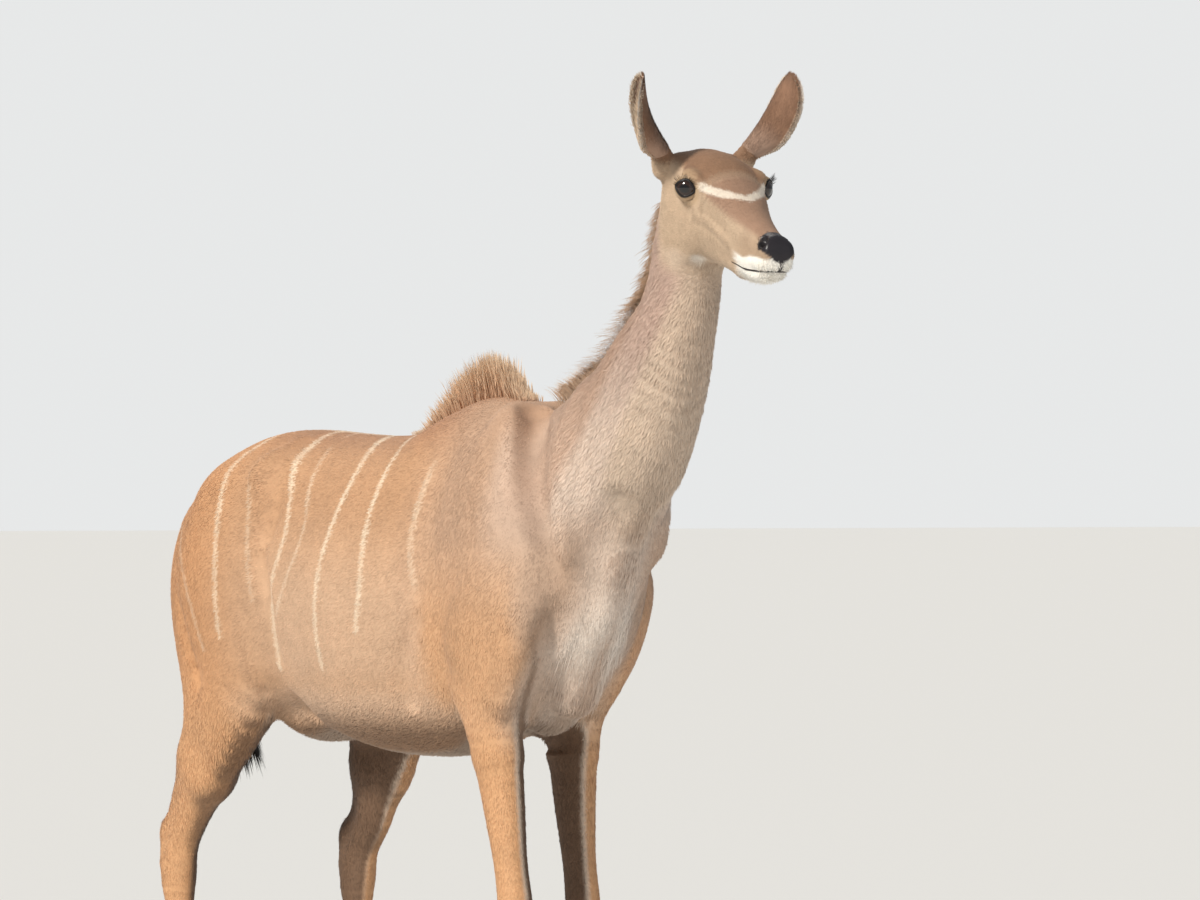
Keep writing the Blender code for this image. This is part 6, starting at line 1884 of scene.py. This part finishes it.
def mesh_material(name, roughness, specular=0.5, attribute="coat", noise_scale=None, noise_amount=0.12, bump_scale=None,
                  bump_strength=0.2, bump_distance=0.001, sheen=0.0, coat_weight=0.0, colour=None, stretch=(1, 1, 1)):
    """A Principled material whose colour follows the mesh's own colours, with noise and bump."""
    made = bpy.data.materials.new(name)
    made.use_nodes = True
    nodes, links = made.node_tree.nodes, made.node_tree.links
    shader = nodes["Principled BSDF"]
    shader.inputs["Roughness"].default_value = roughness
    shader.inputs["Specular IOR Level"].default_value = specular
    shader.inputs["Sheen Weight"].default_value = sheen
    shader.inputs["Sheen Roughness"].default_value = 0.45
    shader.inputs["Coat Weight"].default_value = coat_weight
    shader.inputs["Coat Roughness"].default_value = 0.03
    place = nodes.new("ShaderNodeTexCoord")
    mapping = nodes.new("ShaderNodeMapping")
    mapping.inputs["Scale"].default_value = stretch
    links.new(place.outputs["Object"], mapping.inputs["Vector"])
    if colour is None:
        source = nodes.new("ShaderNodeVertexColor")
        source.layer_name = attribute
        tone = source.outputs["Color"]
    else:
        source = nodes.new("ShaderNodeRGB")
        source.outputs[0].default_value = (*paint(colour), 1)
        tone = source.outputs[0]
    if noise_scale:
        noise = nodes.new("ShaderNodeTexNoise")
        noise.inputs["Scale"].default_value = noise_scale
        noise.inputs["Detail"].default_value = 4
        links.new(mapping.outputs["Vector"], noise.inputs["Vector"])
        level = nodes.new("ShaderNodeMapRange")
        level.inputs["From Min"].default_value = 0.3
        level.inputs["From Max"].default_value = 0.7
        level.inputs["To Min"].default_value = 1 - noise_amount
        level.inputs["To Max"].default_value = 1 + noise_amount
        links.new(noise.outputs["Fac"], level.inputs["Value"])
        scale = nodes.new("ShaderNodeVectorMath")
        scale.operation = "SCALE"
        links.new(tone, scale.inputs[0])
        links.new(level.outputs["Result"], scale.inputs["Scale"])
        tone = scale.outputs["Vector"]
    links.new(tone, shader.inputs["Base Color"])
    if bump_scale:
        grain = nodes.new("ShaderNodeTexNoise")
        grain.inputs["Scale"].default_value = bump_scale
        grain.inputs["Detail"].default_value = 3
        links.new(mapping.outputs["Vector"], grain.inputs["Vector"])
        bump = nodes.new("ShaderNodeBump")
        bump.inputs["Strength"].default_value = bump_strength
        bump.inputs["Distance"].default_value = bump_distance
        links.new(grain.outputs["Fac"], bump.inputs["Height"])
        links.new(bump.outputs["Normal"], shader.inputs["Normal"])
    return made


def skin_material():
    """The skin under the coat; bare and moist on the nose."""
    made = mesh_material("skin", 0.62, specular=0.35, noise_scale=55, noise_amount=0.06, bump_scale=420,
                         bump_strength=0.35, bump_distance=0.0012)
    nodes, links = made.node_tree.nodes, made.node_tree.links
    bare = nodes.new("ShaderNodeAttribute")
    bare.attribute_name = "bare"
    level = nodes.new("ShaderNodeMapRange")
    level.inputs["To Min"].default_value = 0.72
    level.inputs["To Max"].default_value = 0.30
    links.new(bare.outputs["Fac"], level.inputs["Value"])
    links.new(level.outputs["Result"], nodes["Principled BSDF"].inputs["Roughness"])
    return made


def stage_and_light(shift):
    floor = new_object("floor", bpy.data.meshes.new("floor"))
    size = 150.0
    floor.data.from_pydata([(-size, -size, 0), (size, -size, 0), (size, size, 0), (-size, size, 0)], [], [(0, 1, 2, 3)])
    made = bpy.data.materials.new("floor")
    made.use_nodes = True
    shader = made.node_tree.nodes["Principled BSDF"]
    shader.inputs["Base Color"].default_value = (0.78, 0.77, 0.75, 1)
    shader.inputs["Roughness"].default_value = 0.9
    noise = made.node_tree.nodes.new("ShaderNodeTexNoise")
    noise.inputs["Scale"].default_value = 0.4
    bump = made.node_tree.nodes.new("ShaderNodeBump")
    bump.inputs["Strength"].default_value = 0.02
    made.node_tree.links.new(noise.outputs["Fac"], bump.inputs["Height"])
    made.node_tree.links.new(bump.outputs["Normal"], shader.inputs["Normal"])
    floor.data.materials.append(made)
    world = bpy.context.scene.world or bpy.data.worlds.new("world")
    bpy.context.scene.world = world
    world.use_nodes = True
    backdrop = world.node_tree.nodes["Background"]
    backdrop.inputs["Color"].default_value = (0.80, 0.86, 0.92, 1)
    backdrop.inputs["Strength"].default_value = 0.36
    nodes, links = world.node_tree.nodes, world.node_tree.links
    seen = nodes.new("ShaderNodeBackground")
    seen.inputs["Color"].default_value = (0.80, 0.81, 0.81, 1)
    path = nodes.new("ShaderNodeLightPath")
    blend = nodes.new("ShaderNodeMixShader")
    links.new(path.outputs["Is Camera Ray"], blend.inputs["Fac"])
    links.new(backdrop.outputs["Background"], blend.inputs[1])
    links.new(seen.outputs["Background"], blend.inputs[2])
    links.new(blend.outputs["Shader"], nodes["World Output"].inputs["Surface"])
    bpy.context.scene.view_settings.view_transform = "Standard"
    lights = (
        ("key", AZIMUTH - math.radians(44), 38, 3.25, 7, (1.0, 0.95, 0.87)),
        ("fill", AZIMUTH + math.radians(45), 20, 0.20, 60, (0.94, 0.97, 1.0)),
        ("rim", AZIMUTH + math.radians(190), 42, 0.35, 30, (1.0, 0.96, 0.90)),
    )
    for name, azimuth, elevation, strength, softness, colour in lights:
        e = math.radians(elevation)
        back = Vector((math.sin(azimuth) * math.cos(e), -math.cos(azimuth) * math.cos(e), math.sin(e)))
        data = bpy.data.lights.new(name, "SUN")
        data.energy = strength
        data.angle = math.radians(softness)
        data.color = colour
        lamp = bpy.data.objects.new(name, data)
        bpy.context.scene.collection.objects.link(lamp)
        lamp.location = back * 6
        lamp.rotation_euler = back.to_track_quat("Z", "Y").to_euler()
    data = bpy.data.cameras.new("camera")
    data.sensor_width = SENSOR
    data.lens = SENSOR * DISTANCE * PIXELS_PER_METRE / PHOTO_WIDTH
    data.clip_end = 500
    camera = bpy.data.objects.new("camera", data)
    bpy.context.scene.collection.objects.link(camera)
    right = Vector((math.cos(AZIMUTH), math.sin(AZIMUTH), 0))
    back = Vector((math.sin(AZIMUTH), -math.cos(AZIMUTH), 0))
    camera.location = shift + right * TARGET_RIGHT + Vector((0, 0, TARGET_HEIGHT)) + back * DISTANCE
    camera.rotation_euler = back.to_track_quat("Z", "Y").to_euler()
    bpy.context.scene.camera = camera


def main():
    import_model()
    low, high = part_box("eye_right")
    shift = (Vector(low) + Vector(high)) / 2 - eye_place("right")[0]
    shift.z = 0.0
    stage_and_light(shift)
    draw = np.random.default_rng(SEED)

    solid, field, nostrils = make_skin_field()
    lines = [grid_lines(*spec) for spec in (LINES_X, LINES_Y, LINES_Z)]
    points, faces, slope = net_on_lines(field, lines)
    used, faces = largest_part(points, faces)
    points, normals = eased(points[used], unit(slope[used]), faces)
    colours = coat_colour(points, normals)
    bare = np.zeros(len(points))
    near = points[:, 0] > 0.9
    h = in_head(points[near])
    bare[near] = nose_share(h)
    face_tone = colours[near]
    # Painted shade: the nostril pits darkened almost to black.
    for place, _ in nostrils:
        far = np.linalg.norm(h - np.array(place), axis=1)
        face_tone = mix(face_tone, (10, 8, 9), ramp(far, 0.0085, 0.0050))
    lip = line_distance(h, mouth_line())
    face_tone = mix(face_tone, (30, 22, 20), ramp(lip, 0.0036, 0.0016) * 0.9)
    colours[near] = face_tone
    skin_look = skin_material()
    coat_look = mesh_material("coat", 0.66, specular=0.28, noise_scale=60, noise_amount=0.07, sheen=0.12)
    hair_look = mesh_material("long hair", 0.58, specular=0.30, noise_scale=90, noise_amount=0.10, sheen=0.08)
    skin = mesh_object("skin", points, faces, colours, skin_look, bare)
    unwrap(skin, points, faces)
    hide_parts(*FLESH_NODES)
    things = [skin]

    for thing in coat(points, faces, normals, draw, coat_look):
        things.append(thing)
    for thing in (crest(solid, draw, hair_look), mane(solid, draw, hair_look), throat_hair(field, draw, hair_look),
                  chin_hair(field, draw, hair_look), lip_hair(field, draw, hair_look)):
        things.append(thing)
    thing = tail_hair(solid, draw, hair_look)
    things.append(thing)

    eye_look = mesh_material("eye", 0.12, specular=0.5, noise_scale=180, noise_amount=0.15, coat_weight=0.5,
                             bump_scale=120, bump_strength=0.02)
    lid_look = mesh_material("lid", 0.42, specular=0.4, colour=LID, noise_scale=160, noise_amount=0.2, bump_scale=600,
                             bump_strength=0.3)
    lip_look = mesh_material("lip", 0.5, colour=(38, 28, 26), noise_scale=200, noise_amount=0.2, bump_scale=500)
    horn_look = mesh_material("horn", 0.46, specular=0.4, colour=(52, 46, 42), noise_scale=70, noise_amount=0.30,
                              bump_scale=60, bump_strength=0.35, bump_distance=0.002, stretch=(1, 1, 9))
    for side in SIDES:
        parts = ear(side, draw, skin_look, coat_look)
        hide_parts(f"ear_{side}")
        for thing in parts:
            things.append(thing)
        ball_of_eye = eyeball(side, eye_look)
        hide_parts(f"eye_{side}")
        things.append(ball_of_eye)
        rim_points, rim_faces, crown = lid_rim(side)
        lid = mesh_object(f"lids_{side}", rim_points, rim_faces, None, lid_look)
        things.append(lid)
        thing = lid_skin(side, paint(EYE_RING), coat_look)
        things.append(thing)
        thing = lashes(side, draw, crown, hair_look)
        things.append(thing)
    thing = lip_line(field, lip_look)
    things.append(thing)
    for side, sign in SIDES.items():
        for leg, x, foot in (("fore", FORE_X[side], FORE_FOOT), ("hind", HOCK_X[side], HIND_FOOT)):
            for name, spread in (("inner", -1), ("outer", 1)):
                y = sign * (foot[1] + spread * (CLAW_WIDTH + CLAW_GAP) / 2)
                node = f"hoof_{leg}_{side}_{name}"
                thing = claw(f"claw_{leg}_{side}_{name}", x + foot[0] + 0.004, y, sign * spread * 0.06, horn_look)
                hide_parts(node)
                things.append(thing)
            for spread in (-DEWCLAW_SPREAD, DEWCLAW_SPREAD):
                thing = dewclaw(x + foot[0], sign * foot[1], spread)
                thing.name = f"dewclaw_{leg}_{side}_{'a' if spread < 0 else 'b'}"
                thing.data.shade_smooth()
                thing.data.materials.append(horn_look)
                things.append(thing)

    for thing in things:
        thing.data.transform(Matrix.Translation(shift))
        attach(thing, "root")
    bpy.context.view_layer.update()


main()
